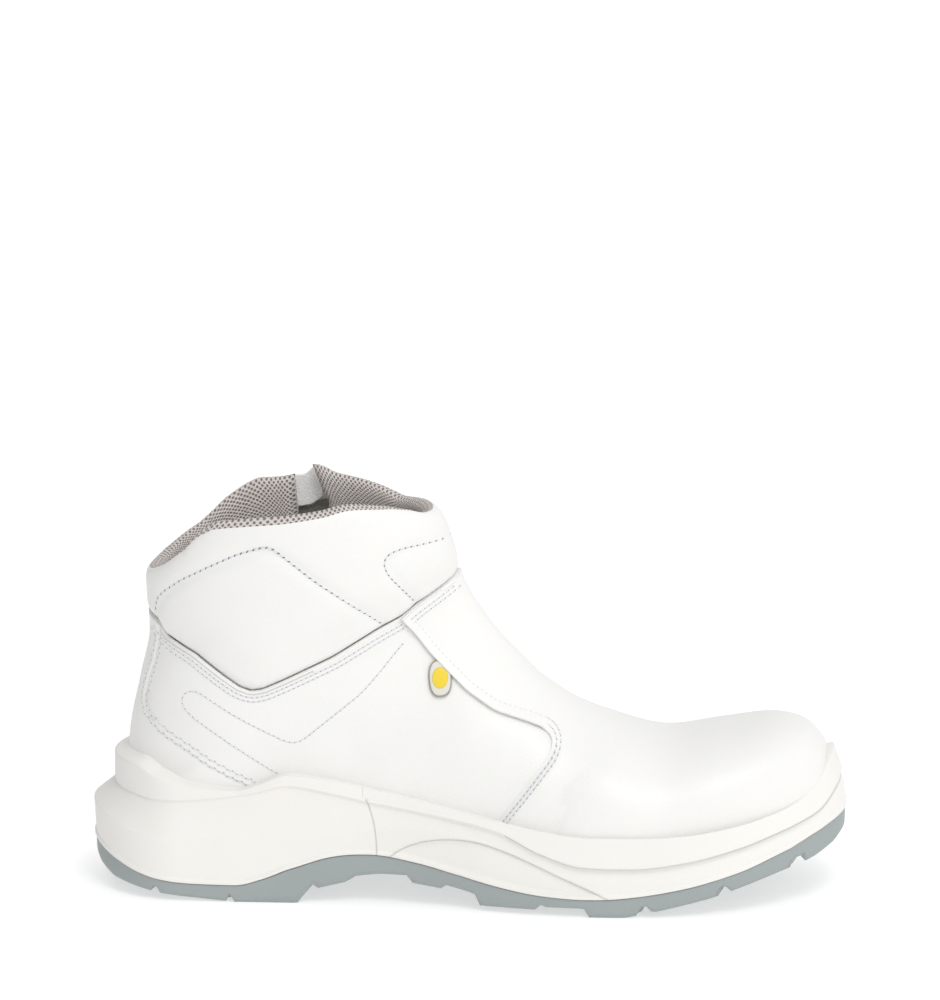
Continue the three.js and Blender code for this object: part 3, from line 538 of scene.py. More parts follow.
def material(name, colour, roughness, grain=900.0, depth=0.00004, tone=0.04, coat=0.0, sheen=0.0, lines=(), painted_line_shade=0.7):
    """A moulded or coated surface with its grain, a slow change of tone and its lines, whose grooves are darkened with
    painted shade. Colour is linear.
    """
    look = bpy.data.materials.new(name)
    look.use_nodes = True
    tree = look.node_tree
    shader = tree.nodes["Principled BSDF"]
    place = tree.nodes.new("ShaderNodeTexCoord").outputs["Object"]
    texture = tree.nodes.new("ShaderNodeGroup")
    texture.node_tree = GRAIN
    texture.inputs["Scale"].default_value = grain
    tree.links.new(place, texture.inputs["Vector"])
    mix = tree.nodes.new("ShaderNodeMix")
    mix.data_type = "RGBA"
    mix.inputs[6].default_value = (*[c * (1 - tone) for c in colour], 1)
    mix.inputs[7].default_value = (*[min(c * (1 + tone), 1) for c in colour], 1)
    tree.links.new(texture.outputs["Tone"], mix.inputs[0])
    colour_out = mix.outputs[2]
    height_out = texture.outputs["Height"]
    if lines:
        # Each line is sunk as a groove in the bump, and its colour is darkened towards 0.62 of itself as painted shade
        # in the groove.
        mask = groove_mask(tree, lines)
        groove_shade = tree.nodes.new("ShaderNodeMix")
        groove_shade.data_type = "RGBA"
        groove_shade.inputs[7].default_value = (*[c * 0.62 for c in colour], 1)
        tree.links.new(math_node(tree, "MULTIPLY", mask, painted_line_shade), groove_shade.inputs[0])
        tree.links.new(colour_out, groove_shade.inputs[6])
        colour_out = groove_shade.outputs[2]
        height_out = math_node(tree, "SUBTRACT", height_out, math_node(tree, "MULTIPLY", mask, 6.0))
    tree.links.new(colour_out, shader.inputs["Base Color"])
    shader.inputs["Roughness"].default_value = roughness
    shader.inputs["Coat Weight"].default_value = coat
    shader.inputs["Coat Roughness"].default_value = 0.35
    shader.inputs["Sheen Weight"].default_value = sheen
    bump = tree.nodes.new("ShaderNodeBump")
    bump.inputs["Distance"].default_value = depth
    tree.links.new(height_out, bump.inputs["Height"])
    tree.links.new(bump.outputs["Normal"], shader.inputs["Normal"])
    return look


def mesh_fabric(name, thread, hole, pitch):
    """Spacer mesh: rows of round holes in a knitted face, laid out on the piece's own map in metres."""
    look = bpy.data.materials.new(name)
    look.use_nodes = True
    tree = look.node_tree
    shader = tree.nodes["Principled BSDF"]
    place = tree.nodes.new("ShaderNodeTexCoord").outputs["UV"]
    turn = tree.nodes.new("ShaderNodeMapping")
    turn.inputs["Rotation"].default_value = (0, 0, math.radians(45))
    tree.links.new(place, turn.inputs["Vector"])
    cells = tree.nodes.new("ShaderNodeTexVoronoi")
    cells.voronoi_dimensions = "2D"
    cells.inputs["Scale"].default_value = 1.0 / pitch
    cells.inputs["Randomness"].default_value = 0.12
    tree.links.new(turn.outputs["Vector"], cells.inputs["Vector"])
    edge = tree.nodes.new("ShaderNodeMapRange")
    edge.interpolation_type = "SMOOTHSTEP"
    edge.inputs["From Min"].default_value = 0.16
    edge.inputs["From Max"].default_value = 0.42
    tree.links.new(cells.outputs["Distance"], edge.inputs["Value"])
    mix = tree.nodes.new("ShaderNodeMix")
    mix.data_type = "RGBA"
    mix.inputs[6].default_value = (*hole, 1)
    mix.inputs[7].default_value = (*thread, 1)
    tree.links.new(edge.outputs["Result"], mix.inputs[0])
    tree.links.new(mix.outputs[2], shader.inputs["Base Color"])
    shader.inputs["Roughness"].default_value = 0.9
    shader.inputs["Sheen Weight"].default_value = 0.15
    knit = tree.nodes.new("ShaderNodeGroup")
    knit.node_tree = GRAIN
    knit.inputs["Scale"].default_value = 2600.0
    tree.links.new(place, knit.inputs["Vector"])
    height = math_node(tree, "ADD", edge.outputs["Result"],
                       math_node(tree, "MULTIPLY", knit.outputs["Height"], 0.15))
    bump = tree.nodes.new("ShaderNodeBump")
    bump.inputs["Distance"].default_value = 0.0005
    tree.links.new(height, bump.inputs["Height"])
    tree.links.new(bump.outputs["Normal"], shader.inputs["Normal"])
    return look


WHITE = (0.83, 0.825, 0.805)
# The vee line darkens the leather under the cuff's lower edge at the back: painted shade of the gap between the pad
# and the shell.
LEATHER = material("white_microfibre", WHITE, 0.42, 1100.0, 0.00005, 0.02,
                   lines=[("vee_gap_shade", 0.25)], painted_line_shade=0.3)
CUFF_LEATHER = material("cuff_microfibre", WHITE, 0.42, 1100.0, 0.00005, 0.02)
# The split line is a groove between the heel block and the front of the midsole, and the lens and lip lines are steps
# of its side. Their darkening is painted shade.
FOAM = material("midsole_foam", (0.83, 0.815, 0.78), 0.5, 1500.0, 0.00003, 0.02,
                lines=[("split", 0.3), ("lens", 0.35), ("lip", 0.4)])
RUBBER = material("blue_grey_rubber", (0.325, 0.36, 0.36), 0.6, 1200.0, 0.00006, 0.05)
LINING = mesh_fabric("spacer_mesh", (0.66, 0.605, 0.575), (0.19, 0.17, 0.16), 0.00135)
INSOLE = material("insole_fabric", (0.28, 0.26, 0.25), 0.95, 900.0, 0.0002, 0.1)
# The thread is white. Its grey-lavender tint below the leather's white is painted shade along the stitches.
THREAD = material("white_thread", (0.74, 0.74, 0.77), 0.6, 4000.0, 0.00003, 0.05)
# Flat dark beads at the stitch ends are painted shade of the needle pits: lighter along the upper's seams, darker
# along the cuff's seams.
PIT_SHADE = material("needle_holes", (0.44, 0.44, 0.50), 0.8, 4000.0, 0.00001, 0.05)
DEEP_PIT_SHADE = material("deep_needle_holes", (0.20, 0.21, 0.25), 0.8, 4000.0, 0.00001, 0.05)
# The dark grey-green tape is the lower part of the white loop tape, bent away from the light: its colour is painted
# shade.
SHADED_TAPE = material("shaded_loop_tape", (0.22, 0.23, 0.19), 0.95, 1400.0, 0.0004, 0.2)
FUZZ = material("loop_tape", (0.93, 0.93, 0.91), 0.95, 1400.0, 0.0002, 0.04)
TAB = material("clear_tab", (0.70, 0.68, 0.62), 0.35, 900.0, 0.00003, 0.05)
TAB_RIM = material("tab_rim", (0.32, 0.32, 0.26), 0.5, 900.0, 0.00003, 0.05)
DISC = material("yellow_disc", (0.80, 0.60, 0.03), 0.4, 900.0, 0.00003, 0.03)


# Upper

# Soft troughs and ridges of the worn-in upper, each along a line from x1 z1 to x2 z2 in shares
CREASES = table("x1 z1 x2 z2 reach height", [
    [0.36, 0.41, 0.46, 0.47, 9.0, -0.7], [0.40, 0.36, 0.50, 0.42, 9.0, 0.5],
    [0.30, 0.33, 0.40, 0.30, 10.0, 0.5], [0.48, 0.33, 0.56, 0.38, 10.0, -0.5],
    [0.58, 0.52, 0.66, 0.30, 12.0, -0.6], [0.66, 0.46, 0.72, 0.25, 11.0, 0.5],
    [0.72, 0.42, 0.77, 0.24, 12.0, -0.5], [0.11, 0.52, 0.20, 0.40, 8.0, 0.4],
    [0.12, 0.38, 0.08, 0.34, 9.0, -0.5], [0.47, 0.70, 0.56, 0.52, 10.0, -0.5],
])


def soft_form(points):
    """Height of the upper's own soft troughs and ridges."""
    height = np.zeros(len(points))
    for x1, z1, x2, z2, reach, tall in zip(*CREASES.values()):
        line = np.array([[x1 * SOLE_LENGTH, z1 * SHAFT_HEIGHT], [x2 * SOLE_LENGTH, z2 * SHAFT_HEIGHT]])
        height += tall * np.exp(-(side_distance(points, line) / reach) ** 2)
    return height


def upper_shell():
    cap = 0.015

    def place(u, w):
        t = 2 * u - 1
        s = np.where(w < cap, -(1 - w / cap), (w - cap) / (1 - cap) * edge_s(t))
        return last_point(s, t, soft_form(last_surface(np.clip(s, 0, LAST_END), t)))

    mesh = sheet_mesh("upper_shell", 200, 190, place)
    rim = np.stack([CUFF_EDGE["x"][1:-1] * SOLE_LENGTH, CUFF_EDGE["z"][1:-1] * SHAFT_HEIGHT], axis=-1)
    points = coords(mesh)
    # Distance to the cuff's edge, where the vee line paints the shade of the gap under the pad.
    store_line(mesh, "vee_gap_shade", side_distance(points, rim) + 1.3, points[:, 0] < 0.31 * SOLE_LENGTH)
    piece = link(mesh, "upper_shell", LEATHER, LINING)
    thicken(piece, WALL, 1)
    return belongs(piece, "upper")


def edge_places(line):
    """Evenly spaced places on the lateral side under a line of the side view."""
    points = line_points(line)
    s, t = lateral_place(points[:, 0], points[:, 1])
    return s, t, np.linspace(0, 1, len(s))


FAN = 3.5
VAMP_S, VAMP_T, VAMP_F = edge_places(VAMP_EDGE)
COUNTER_S, COUNTER_T, COUNTER_F = edge_places(COUNTER_EDGE)


def vamp_overlay():
    """The vamp lies over the quarters from the toe to the foot of the cuff."""
    toe_share = 0.5
    cap = 0.015
    feather_s = VAMP_S[-1]
    ridge_end = float(edge_s(0.0))
    foot_s = feather_s + FAN * VAMP_T[-1]
    corner_f = 1 - VAMP_F[np.argmax(last_surface(VAMP_S, VAMP_T)[:, 0])]
    corner_w = toe_share + (1 - toe_share) * corner_f
    turn_at = int((1 - corner_f) * (len(VAMP_F) - 1))
    edge_line = last_surface(VAMP_S, VAMP_T)[:, [0, 2]]
    open_line = edge_line[:turn_at - 16:3]
    sewn_line = edge_line[turn_at + 6::3]

    def boundary(w):
        f = np.clip((w - toe_share) / (1 - toe_share), 0, 1)
        low = np.where(w < cap, -(1 - w / cap), (w - cap) / (toe_share - cap) * feather_s)
        on_toe = w < toe_share
        s = np.where(on_toe, low, np.interp(1 - f, VAMP_F, VAMP_S))
        t = np.where(on_toe, -1.0, np.interp(1 - f, VAMP_F, VAMP_T))
        return s, t

    def ridge(w, s_b, t_b):
        toe = np.where(s_b > 0, s_b * foot_s / feather_s, s_b)
        fan = FAN * (1 - ramp(s_b, 8.6, 11.0))
        lead = (ridge_end - VAMP_S[0]) * ramp(w, corner_w + 0.1, 1.0)
        return np.where(w < toe_share, toe, s_b - fan * np.abs(t_b) + lead)

    def place(u, w):
        side = 2 * u - 1
        share = np.abs(side)
        s_b, t_b = boundary(w)
        s_r = ridge(w, s_b, t_b)
        t = t_b * share
        s = s_r + (s_b - s_r) * share
        top_row = ridge_end + (VAMP_S[0] - ridge_end) * share
        s = s + (edge_s(t) - top_row) * ramp(w, 0.8, 1.0)
        base = last_surface(np.clip(s, 0, LAST_END), t)
        loose = 1 - ramp(np.abs(side_distance(base, open_line)), 0.0, 4.5)
        sewn = 1 - ramp(np.abs(side_distance(base, sewn_line)), 0.0, 5.0)
        lift = OVERLAY_STEP + 0.8 * loose - 0.65 * sewn * (1 - loose)
        return last_point(s, np.where(u < 0.5, t, -t), lift + soft_form(base))

    mesh = sheet_mesh("vamp_overlay", 190, 190, place)
    rim = np.stack([CUFF_EDGE["x"][1:-1] * SOLE_LENGTH, CUFF_EDGE["z"][1:-1] * SHAFT_HEIGHT], axis=-1)
    points = coords(mesh)
    # Distance to the cuff's edge, where the vee line paints the shade of the gap under the pad.
    store_line(mesh, "vee_gap_shade", side_distance(points, rim) + 1.3, points[:, 0] < 0.31 * SOLE_LENGTH)
    piece = link(mesh, "vamp_overlay", LEATHER)
    thicken(piece, 1.15)
    return belongs(piece, "upper")


def counter_overlay():
    """The counter wraps the back of the heel."""
    low_s = COUNTER_S[-1]
    top_s = float(edge_s(-1.0))

    def place(u, w):
        share = np.abs(2 * u - 1)
        s_b = np.interp(1 - w, COUNTER_F, COUNTER_S)
        t_b = np.interp(1 - w, COUNTER_F, COUNTER_T)
        s_k = low_s + (top_s - low_s) * w
        t = -1 + (t_b + 1) * share
        s = s_k + (s_b - s_k) * share
        top_row = top_s + (COUNTER_S[0] - top_s) * share
        s = s + (edge_s(t) - top_row) * ramp(w, 0.9, 1.0)
        lift = 0.45 * ramp(1 - share, 0, 0.06) + 0.05 + soft_form(last_surface(s, t))
        return last_point(s, np.where(u < 0.5, t, -t), lift)

    mesh = sheet_mesh("counter_overlay", 120, 90, place)
    store(mesh, "vee_gap_shade", np.full(len(mesh.vertices), 9.0))
    piece = link(mesh, "counter_overlay", LEATHER)
    thicken(piece, 0.7)
    return belongs(piece, "upper")


# Cuff

CUFF_SEAMS = [line_points(CUFF_SEAM_BACK, pitch=2.0), line_points(CUFF_SEAM_FRONT, pitch=2.0)]


def cuff_skin(t, rise):
    """Distance of the cuff's outer skin from the last."""
    base = last_surface(edge_s(t) + (rim_s(t) - edge_s(t)) * rise, t)
    soft_foot = 0.2 + 0.2 * ramp(base[..., 0], 0.24 * SOLE_LENGTH, 0.34 * SOLE_LENGTH)
    puff = PAD_PUFF * ramp(rise, 0.0, soft_foot) * (1 - 0.3 * ramp(rise, 0.66, 0.95))
    for seam in CUFF_SEAMS:
        away = np.abs(side_distance(base, seam))
        puff = puff - 0.9 * np.exp(-(away / 2.4) ** 2)
    plump = END_PUFF + (1 - END_PUFF) * np.sin(np.pi * np.abs(t))
    return np.where(puff > 0, puff * plump, puff) - FIT_GAP * (1 - ramp(rise, 0, 0.1))


def medial_place(x, rise):
    low = np.full(np.shape(x), 0.15)
    high = np.full(np.shape(x), 0.9)
    for _ in range(24):
        t = (low + high) / 2
        ahead = last_surface(edge_s(t) + (rim_s(t) - edge_s(t)) * rise, t)[..., 0] > x
        low = np.where(ahead, t, low)
        high = np.where(ahead, high, t)
    return (low + high) / 2


def cuff_ring():
    tuck_share = 0.12

    def place(u, w):
        outer = w < 0.5
        q = np.where(outer, w, 1 - w) * 2
        rise = np.clip((q - tuck_share) / (1 - tuck_share), 0, 1) ** 0.85
        tuck = 7.0 * np.clip(1 - q / tuck_share, 0, 1)
        lower = np.clip((1 - rise) / 0.2, 0, 1)
        slit_t = medial_place(SLIT_X + 4.0 * lower, rise)
        around = slit_t - u * 2
        around = np.where(around < -1, around + 2, around)
        height = SHAFT_HEIGHT * line_value(COLLAR_RIM, SLIT_X / SOLE_LENGTH) - SLIT_FOOT
        open_from = 1 - height / span_at(slit_t)
        gap = ramp(rise, open_from, open_from + 0.2) * (SLIT_WIDTH / 2 + 2.2 * lower) / 157.0
        near_slit = np.exp(-(np.minimum(u, 1 - u) / 0.03) ** 2)
        t = around + np.where(u < 0.5, -1, 1) * gap * near_slit
        t = np.where(t < -1, t + 2, np.where(t > 1, t - 2, t))
        s = edge_s(t) + (rim_s(t) - edge_s(t)) * (rise - tuck / span_at(t))
        closing = np.sqrt(np.clip(1 - q ** 14, 0, 1))
        skin = np.where(tuck > 0, -WALL - 0.9, cuff_skin(t, rise))
        inner = -PAD_THICKNESS * (0.8 + 0.2 * ramp(rise, 0, 0.3))
        middle = (skin + inner) / 2
        ends = np.clip(np.minimum(u, 1 - u) / 0.014, 0, 1)
        round_end = np.sqrt(np.clip(1 - (1 - ends) ** 2, 0, 1))
        shrink = np.where(gap > 0, round_end, 1.0) * closing
        half = (skin - inner) / 2 * shrink
        return last_point(s, t, middle + np.where(outer, half, -half))

    mesh = sheet_mesh("cuff_pad", 380, 120, place)
    piece = link(mesh, "cuff_pad", CUFF_LEATHER, LINING)
    layer = mesh.uv_layers["UVMap"]
    for face in mesh.polygons:
        w = sum(layer.data[i].uv[1] for i in face.loop_indices) / face.loop_total
        face.material_index = 1 if w > 0.486 else 0
    for corner in layer.data:
        corner.uv = (corner.uv[0] * 0.290, corner.uv[1] * 0.140)
    return belongs(piece, "cuff")


def medial_patch(name, width, rise_from, rise_to, lift, thickness, look):
    """A rounded patch over the slit on the medial side of the cuff."""
    def place(u, w):
        corner = 1 - 0.12 * np.clip(np.abs(2 * u - 1) - 0.7, 0, 1) ** 2 * 8
        x = SLIT_X + (u - 0.5) * width
        rise = rise_from + (rise_to - rise_from) * (0.5 + (w - 0.5) * corner)
        t = medial_place(x, rise)
        s = edge_s(t) + (rim_s(t) - edge_s(t)) * rise
        return last_point(s, t, lift)

    mesh = sheet_mesh(name, 40, 40, place)
    piece = link(mesh, name + "_" + look.name, look)
    thicken(piece, thickness)
    return belongs(piece, name)


# Sole

def sole_half(x):
    half = SOLE_HALF_WIDTH * smooth_value(SOLE_PLAN, "half", x / SOLE_LENGTH)
    back = np.clip(1 - x / HEEL_ROUND, 0, 1)
    front = np.clip((x - (SOLE_LENGTH - TOE_ROUND)) / TOE_ROUND, 0, 1)
    half = half * np.maximum(1 - back ** HEEL_POWER, 0) ** (1 / HEEL_POWER)
    return half * np.maximum(1 - front ** TOE_POWER, 0) ** (1 / TOE_POWER)


def sole_bow(x):
    return SOLE_HALF_WIDTH * smooth_value(SOLE_PLAN, "bow", x / SOLE_LENGTH)


def sole_point(x, sign, inset, z):
    """Point of the sole's side at a station, set in square to the outline."""
    x0 = np.maximum(x - 0.4, 0)
    x1 = np.minimum(x + 0.4, SOLE_LENGTH)
    run = x1 - x0
    rise = sole_bow(x1) + sign * sole_half(x1) - sole_bow(x0) - sign * sole_half(x0)
    length = np.hypot(run, rise)
    out_x = np.where(x <= 0, -1.0, np.where(x >= SOLE_LENGTH, 1.0, -sign * rise / length))
    out_y = np.where((x <= 0) | (x >= SOLE_LENGTH), 0.0, sign * run / length)
    y = sole_bow(x) + sign * sole_half(x)
    return np.stack([x - out_x * inset, y - out_y * inset, z], axis=-1)


def outline_place(u):
    """Station and side around the sole's outline."""
    x = SOLE_LENGTH * (0.5 - 0.5 * np.cos(2 * np.pi * u))
    return x, np.where(u < 0.5, -1.0, 1.0)


def to_spine(point, share):
    """Point drawn in to the sole's middle line."""
    x = np.clip(point[..., 0], 42, SOLE_LENGTH - 58)
    spine = np.stack([x, sole_bow(x), point[..., 2]], axis=-1)
    return point + (spine - point) * share[..., None]


def side_z(x, column):
    return RIM_HEIGHT * smooth_value(SOLE_SIDE, column, x / SOLE_LENGTH)


def side_in(x, column):
    return HEEL_FLARE * smooth_value(SOLE_SIDE, column, x / SOLE_LENGTH)


def seam_z(x):
    return TOE_SPRING * smooth_value(SOLE_SIDE, "seamZ", x / SOLE_LENGTH)


LENS_POINTS = line_points(LENS_LINE, RIM_HEIGHT, 1.5)


def side_profile(x, w):
    """Height, inset and share drawn in to the middle for a row of the midsole's side."""
    rows = np.array([0.0, 0.10, 0.16, 0.34, 0.38, 0.58, 0.83, 0.87, 0.90, 0.94, 1.0])
    ledge = np.interp(x / SOLE_LENGTH, [0.0, 0.16, 0.23, 0.5, 0.6], [2.8, 2.4, 0.5, 0.0, -3.0])
    heights = np.stack([
        side_z(x, "rimZ") - 5, side_z(x, "rimZ") + ledge, side_z(x, "rimZ"), side_z(x, "lipZ"),
        side_z(x, "lipZ") - 0.8, side_z(x, "blockZ"), seam_z(x) + 1.7, seam_z(x) + 1.1, seam_z(x),
        seam_z(x) + 0.3, seam_z(x) + 0.5,
    ], axis=-1)
    seam_in = side_in(x, "seamIn")
    insets = np.stack([
        side_in(x, "rimIn") + 7, side_in(x, "rimIn") + 7, side_in(x, "rimIn"), side_in(x, "lipIn"),
        side_in(x, "hollowIn"), side_in(x, "blockIn"), seam_in, seam_in - 0.5, seam_in - 0.5,
        seam_in + 3, seam_in + 6,
    ], axis=-1)
    spines = np.array([1.0, 0, 0, 0, 0, 0, 0, 0, 0, 0, 1.0])
    k = np.clip(np.searchsorted(rows, w, side="right") - 1, 0, len(rows) - 2)
    f = (w - rows[k]) / (rows[k + 1] - rows[k])
    pick = np.arange(len(x))
    z = heights[pick, k] * (1 - f) + heights[pick, k + 1] * f
    inset = insets[pick, k] * (1 - f) + insets[pick, k + 1] * f
    return z, inset, spines[k] * (1 - f) + spines[k + 1] * f


def midsole_body():
    def place(u, w):
        x, sign = outline_place(u)
        z, inset, spine = np.zeros(len(x)), np.zeros(len(x)), np.zeros(len(x))
        spread = [(-0.008, 0.15), (-0.004, 0.2), (0.0, 0.3), (0.004, 0.2), (0.008, 0.15)]
        for shift, weight in spread:
            inside = (w > 0.08) & (w < 0.82)
            row = side_profile(x, np.clip(np.where(inside, w + shift, w), 0, 1))
            z, inset, spine = z + weight * row[0], inset + weight * row[1], spine + weight * row[2]
        flat = np.stack([x, np.zeros(len(x)), z], axis=-1)
        fade = ramp(x, LENS_POINTS[0, 0], LENS_POINTS[0, 0] + 12) * (1 - ramp(x, LENS_POINTS[-1, 0] - 14, LENS_POINTS[-1, 0]))
        sunk = ramp(-side_distance(flat, LENS_POINTS), -0.4, 0.4) * fade * (1 - ramp(w, 0.80, 0.86))
        point = sole_point(x, sign, inset + LENS_STEP * sunk * (w > 0.3), z)
        return to_spine(point, spine)

    mesh = sheet_mesh("midsole_body", 440, 110, place)
    points = coords(mesh)
    # Distances to the split, lens and lip lines, where the foam is darkened with painted shade.
    on_side = points[:, 2] < side_z(points[:, 0], "lipZ") + 1.0
    store_line(mesh, "split", side_distance(points, line_points(SPLIT_LINE, RIM_HEIGHT, 1.5)), on_side)
    inside = (points[:, 0] > LENS_POINTS[0, 0]) & (points[:, 0] < LENS_POINTS[-1, 0])
    store_line(mesh, "lens", side_distance(points, LENS_POINTS), inside)
    front = points[:, 0] > 0.555 * SOLE_LENGTH
    store_line(mesh, "lip", points[:, 2] - side_z(points[:, 0], "lipZ") + 0.5, front)
    piece = link(mesh, "midsole_body", FOAM)
    return belongs(piece, "midsole")


def tread_z(x, y):
    """Height of the tread's underside with its grooves and arch."""
    base = TOE_SPRING * np.interp(x / SOLE_LENGTH, TREAD["x"], TREAD["z"])
    cut = np.zeros(len(x))
    for share, width, depth in zip(GROOVES["x"], GROOVES["width"], GROOVES["depth"]):
        middle = share * SOLE_LENGTH + (SOLE_HALF_WIDTH - np.abs(y)) * math.tan(GROOVE_SWEEP)
        inside = 1 - ramp(np.abs(x - middle), width / 2 - 0.4, width / 2 + 0.4)
        cut = np.maximum(cut, depth * inside)
    channel = 3.6 * (1 - ramp(np.abs(y), 2.5, 3.5)) * (x < 0.95 * SOLE_LENGTH)
    low = base + np.maximum(cut, channel)
    arch = TOE_SPRING * np.interp(x / SOLE_LENGTH, ARCH["x"], ARCH["z"], left=-0.1, right=-0.1)
    return np.maximum(low, arch)


def outsole_body():
    def place(u, w):
        x, sign = outline_place(u)
        seam = seam_z(x) - 0.3
        inset = side_in(x, "seamIn")
        y = sole_bow(x) + sign * (sole_half(x) - inset)
        low = np.minimum(tread_z(x, y), seam - 0.6)
        down = np.clip((w - 0.15) / 0.35, 0, 1)
        under = np.clip((w - 0.5) / 0.5, 0, 1)
        top = np.clip(1 - w / 0.15, 0, 1)
        corner = 1.2 * ramp(w, 0.42, 0.52)
        z = seam + (low - seam) * down
        point = to_spine(sole_point(x, sign, inset + 0.3 * down + corner, z), np.where(top > 0, top, under))
        below = tread_z(point[:, 0], point[:, 1] - sole_bow(point[:, 0]))
        point[:, 2] = np.where(under > 0, np.minimum(below, seam - 0.6), point[:, 2])
        return point

    mesh = sheet_mesh("outsole_body", 420, 90, place)
    piece = link(mesh, "outsole_body", RUBBER)
    return belongs(piece, "outsole")


def insole_bed():
    def place(u, w):
        across = np.sin((u - 0.5) * np.pi)
        s = 1.5 + 12.9 * w
        edge = last_surface(s, np.full(len(s), -1.0))
        mid = LAST_HALF_WIDTH * smooth_at(LAST["mid"], s)
        half = np.abs(edge[:, 1] - mid) - WALL - 1.2
        return np.stack([edge[:, 0], mid + across * half, edge[:, 2] + WALL + 4.6 + 0.8 * across ** 8], axis=-1)

    mesh = sheet_mesh("insole_bed", 40, 90, place)
    piece = link(mesh, "insole_bed", INSOLE)
    thicken(piece, 4.0)
    return belongs(piece, "insole")


# Stitching

def surface_lift(x, z, s, t):
    """Outward distance of whatever lies on top at a place of the upper's side."""
    point = np.stack([x, np.zeros(len(x)), z], axis=-1)
    vamp = side_distance(point, line_points(VAMP_EDGE, pitch=2.0)) > 0
    counter = side_distance(point, line_points(COUNTER_EDGE, pitch=2.0)) < 0
    lift = np.where(vamp, OVERLAY_STEP, np.where(counter, 0.5, 0.0))
    lift = lift + soft_form(point)
    on_cuff = s > edge_s(t)
    rise = np.clip((s - edge_s(t)) / (rim_s(t) - edge_s(t)), 0, 1)
    return np.where(on_cuff, cuff_skin(t, rise), lift)


def offset_line(points, distance):
    """A line of the side view moved to its left."""
    run = np.gradient(points, axis=0)
    run = run / np.linalg.norm(run, axis=-1, keepdims=True)
    return points + distance * np.stack([-run[:, 1], run[:, 0]], axis=-1)


def bead(bm, at, turn, length, width, height, rings):
    """One rounded bead, its long axis along the first column of turn."""
    size = Matrix.Diagonal((length / 2000, width / 2000, height / 2000, 1))
    place = Matrix.Translation(Vector(to_frame(at))) @ turn @ size
    bmesh.ops.create_uvsphere(bm, u_segments=rings, v_segments=rings // 2 + 1, radius=1.0, matrix=place)


def merge_into(total, row):
    mesh = bpy.data.meshes.new("row")
    row.to_mesh(mesh)
    row.free()
    total.from_mesh(mesh)
    bpy.data.meshes.remove(mesh)


def add_stitches(threads, holes, points, pitch, zigzag=0.0, pit_long=0.7, pit_lean=0.0):
    """A row of stitches on both sides of the boot, along a line of the side view."""
    run = np.concatenate([[0], np.cumsum(np.linalg.norm(np.diff(points, axis=0), axis=-1))])
    stops = np.arange(pitch / 2, run[-1] - pitch / 2, pitch)
    x = np.interp(stops, run, points[:, 0])
    z = np.interp(stops, run, points[:, 1])
    s, t = lateral_place(x, z)
    lift = surface_lift(x, z, s, t)
    row, pits = bmesh.new(), bmesh.new()
    for sign in (-1, 1):
        side_t = t * -sign
        at = last_point(s, side_t, lift)
        out = last_normal(s, side_t)
        run_along = np.gradient(at, axis=0)
        for i in range(len(stops)):
            ahead = Vector(run_along[i]).normalized()
            normal = Vector(out[i])
            side = normal.cross(ahead).normalized()
            lean = (ahead + side * (zigzag if i % 2 else -zigzag)).normalized()
            across = normal.cross(lean).normalized()
            turn = Matrix((lean, across, normal)).transposed().to_4x4()
            bead(row, at[i] + 0.05 * out[i], turn, pitch * 0.72, 0.62, 0.5, 6)
            # A flat dark bead at the stitch's end is painted shade of the pit where the thread sinks in.
            end = at[i] + np.array(lean) * pitch * 0.5
            lean = (ahead + side * pit_lean).normalized()
            turn = Matrix((lean, normal.cross(lean).normalized(), normal)).transposed().to_4x4()
            bead(pits, end + 0.02 * out[i], turn, pit_long, 0.62, 0.22, 6)
    merge_into(threads, row)
    merge_into(holes, pits)


def thread_piece(name, bm, look):
    mesh = bpy.data.meshes.new(name)
    bm.to_mesh(mesh)
    bm.free()
    piece = link(mesh, name, look)
    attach(piece, "root")
    return piece


def stitching():
    """The seams of the upper and cuff, as threads and, at the thread ends, dark beads painted as the shade of the pits
    that the threads pull in.
    """
    threads, holes, deep = bmesh.new(), bmesh.new(), bmesh.new()
    rim = line_points(table("x z", [[x, z] for x, z in zip(CUFF_EDGE["x"][2:-2], CUFF_EDGE["z"][2:-2])]))
    for drop in (-2.6, -4.3):
        add_stitches(threads, holes, offset_line(rim, drop), 2.1)
    vamp = line_points(VAMP_EDGE)
    for inset in (1.7, 3.3):
        add_stitches(threads, holes, offset_line(vamp, inset)[4:-10], 2.1)
    counter = line_points(COUNTER_EDGE)[6:-14]
    add_stitches(threads, holes, offset_line(counter, -1.1), 2.0, 0.3)
    add_stitches(threads, holes, offset_line(counter, 1.2), 2.0, 0.3)
    add_stitches(threads, holes, line_points(QUILT_LINE), 2.2)
    add_stitches(threads, deep, line_points(CUFF_SEAM_BACK)[4:-4], 2.6, 0.0, 1.3, 0.8)
    add_stitches(threads, deep, line_points(CUFF_SEAM_FRONT)[:-4], 2.2, 0.0, 1.0, 0.6)
    thread_piece("stitching", threads, THREAD)
    thread_piece("needle_pit_shade_beads", holes, PIT_SHADE)
    thread_piece("cuff_pit_shade_beads", deep, DEEP_PIT_SHADE)


# Tab and disc

TAB_X = 0.468 * SOLE_LENGTH
TAB_Z = 0.556 * SHAFT_HEIGHT
TAB_LEAN = 0.12


def tab_place(u, v, lift):
    x = TAB_X + u * math.cos(TAB_LEAN) - v * math.sin(TAB_LEAN)
    z = TAB_Z + u * math.sin(TAB_LEAN) + v * math.cos(TAB_LEAN)
    s, t = lateral_place(x, z)
    return last_point(s, t, lift)


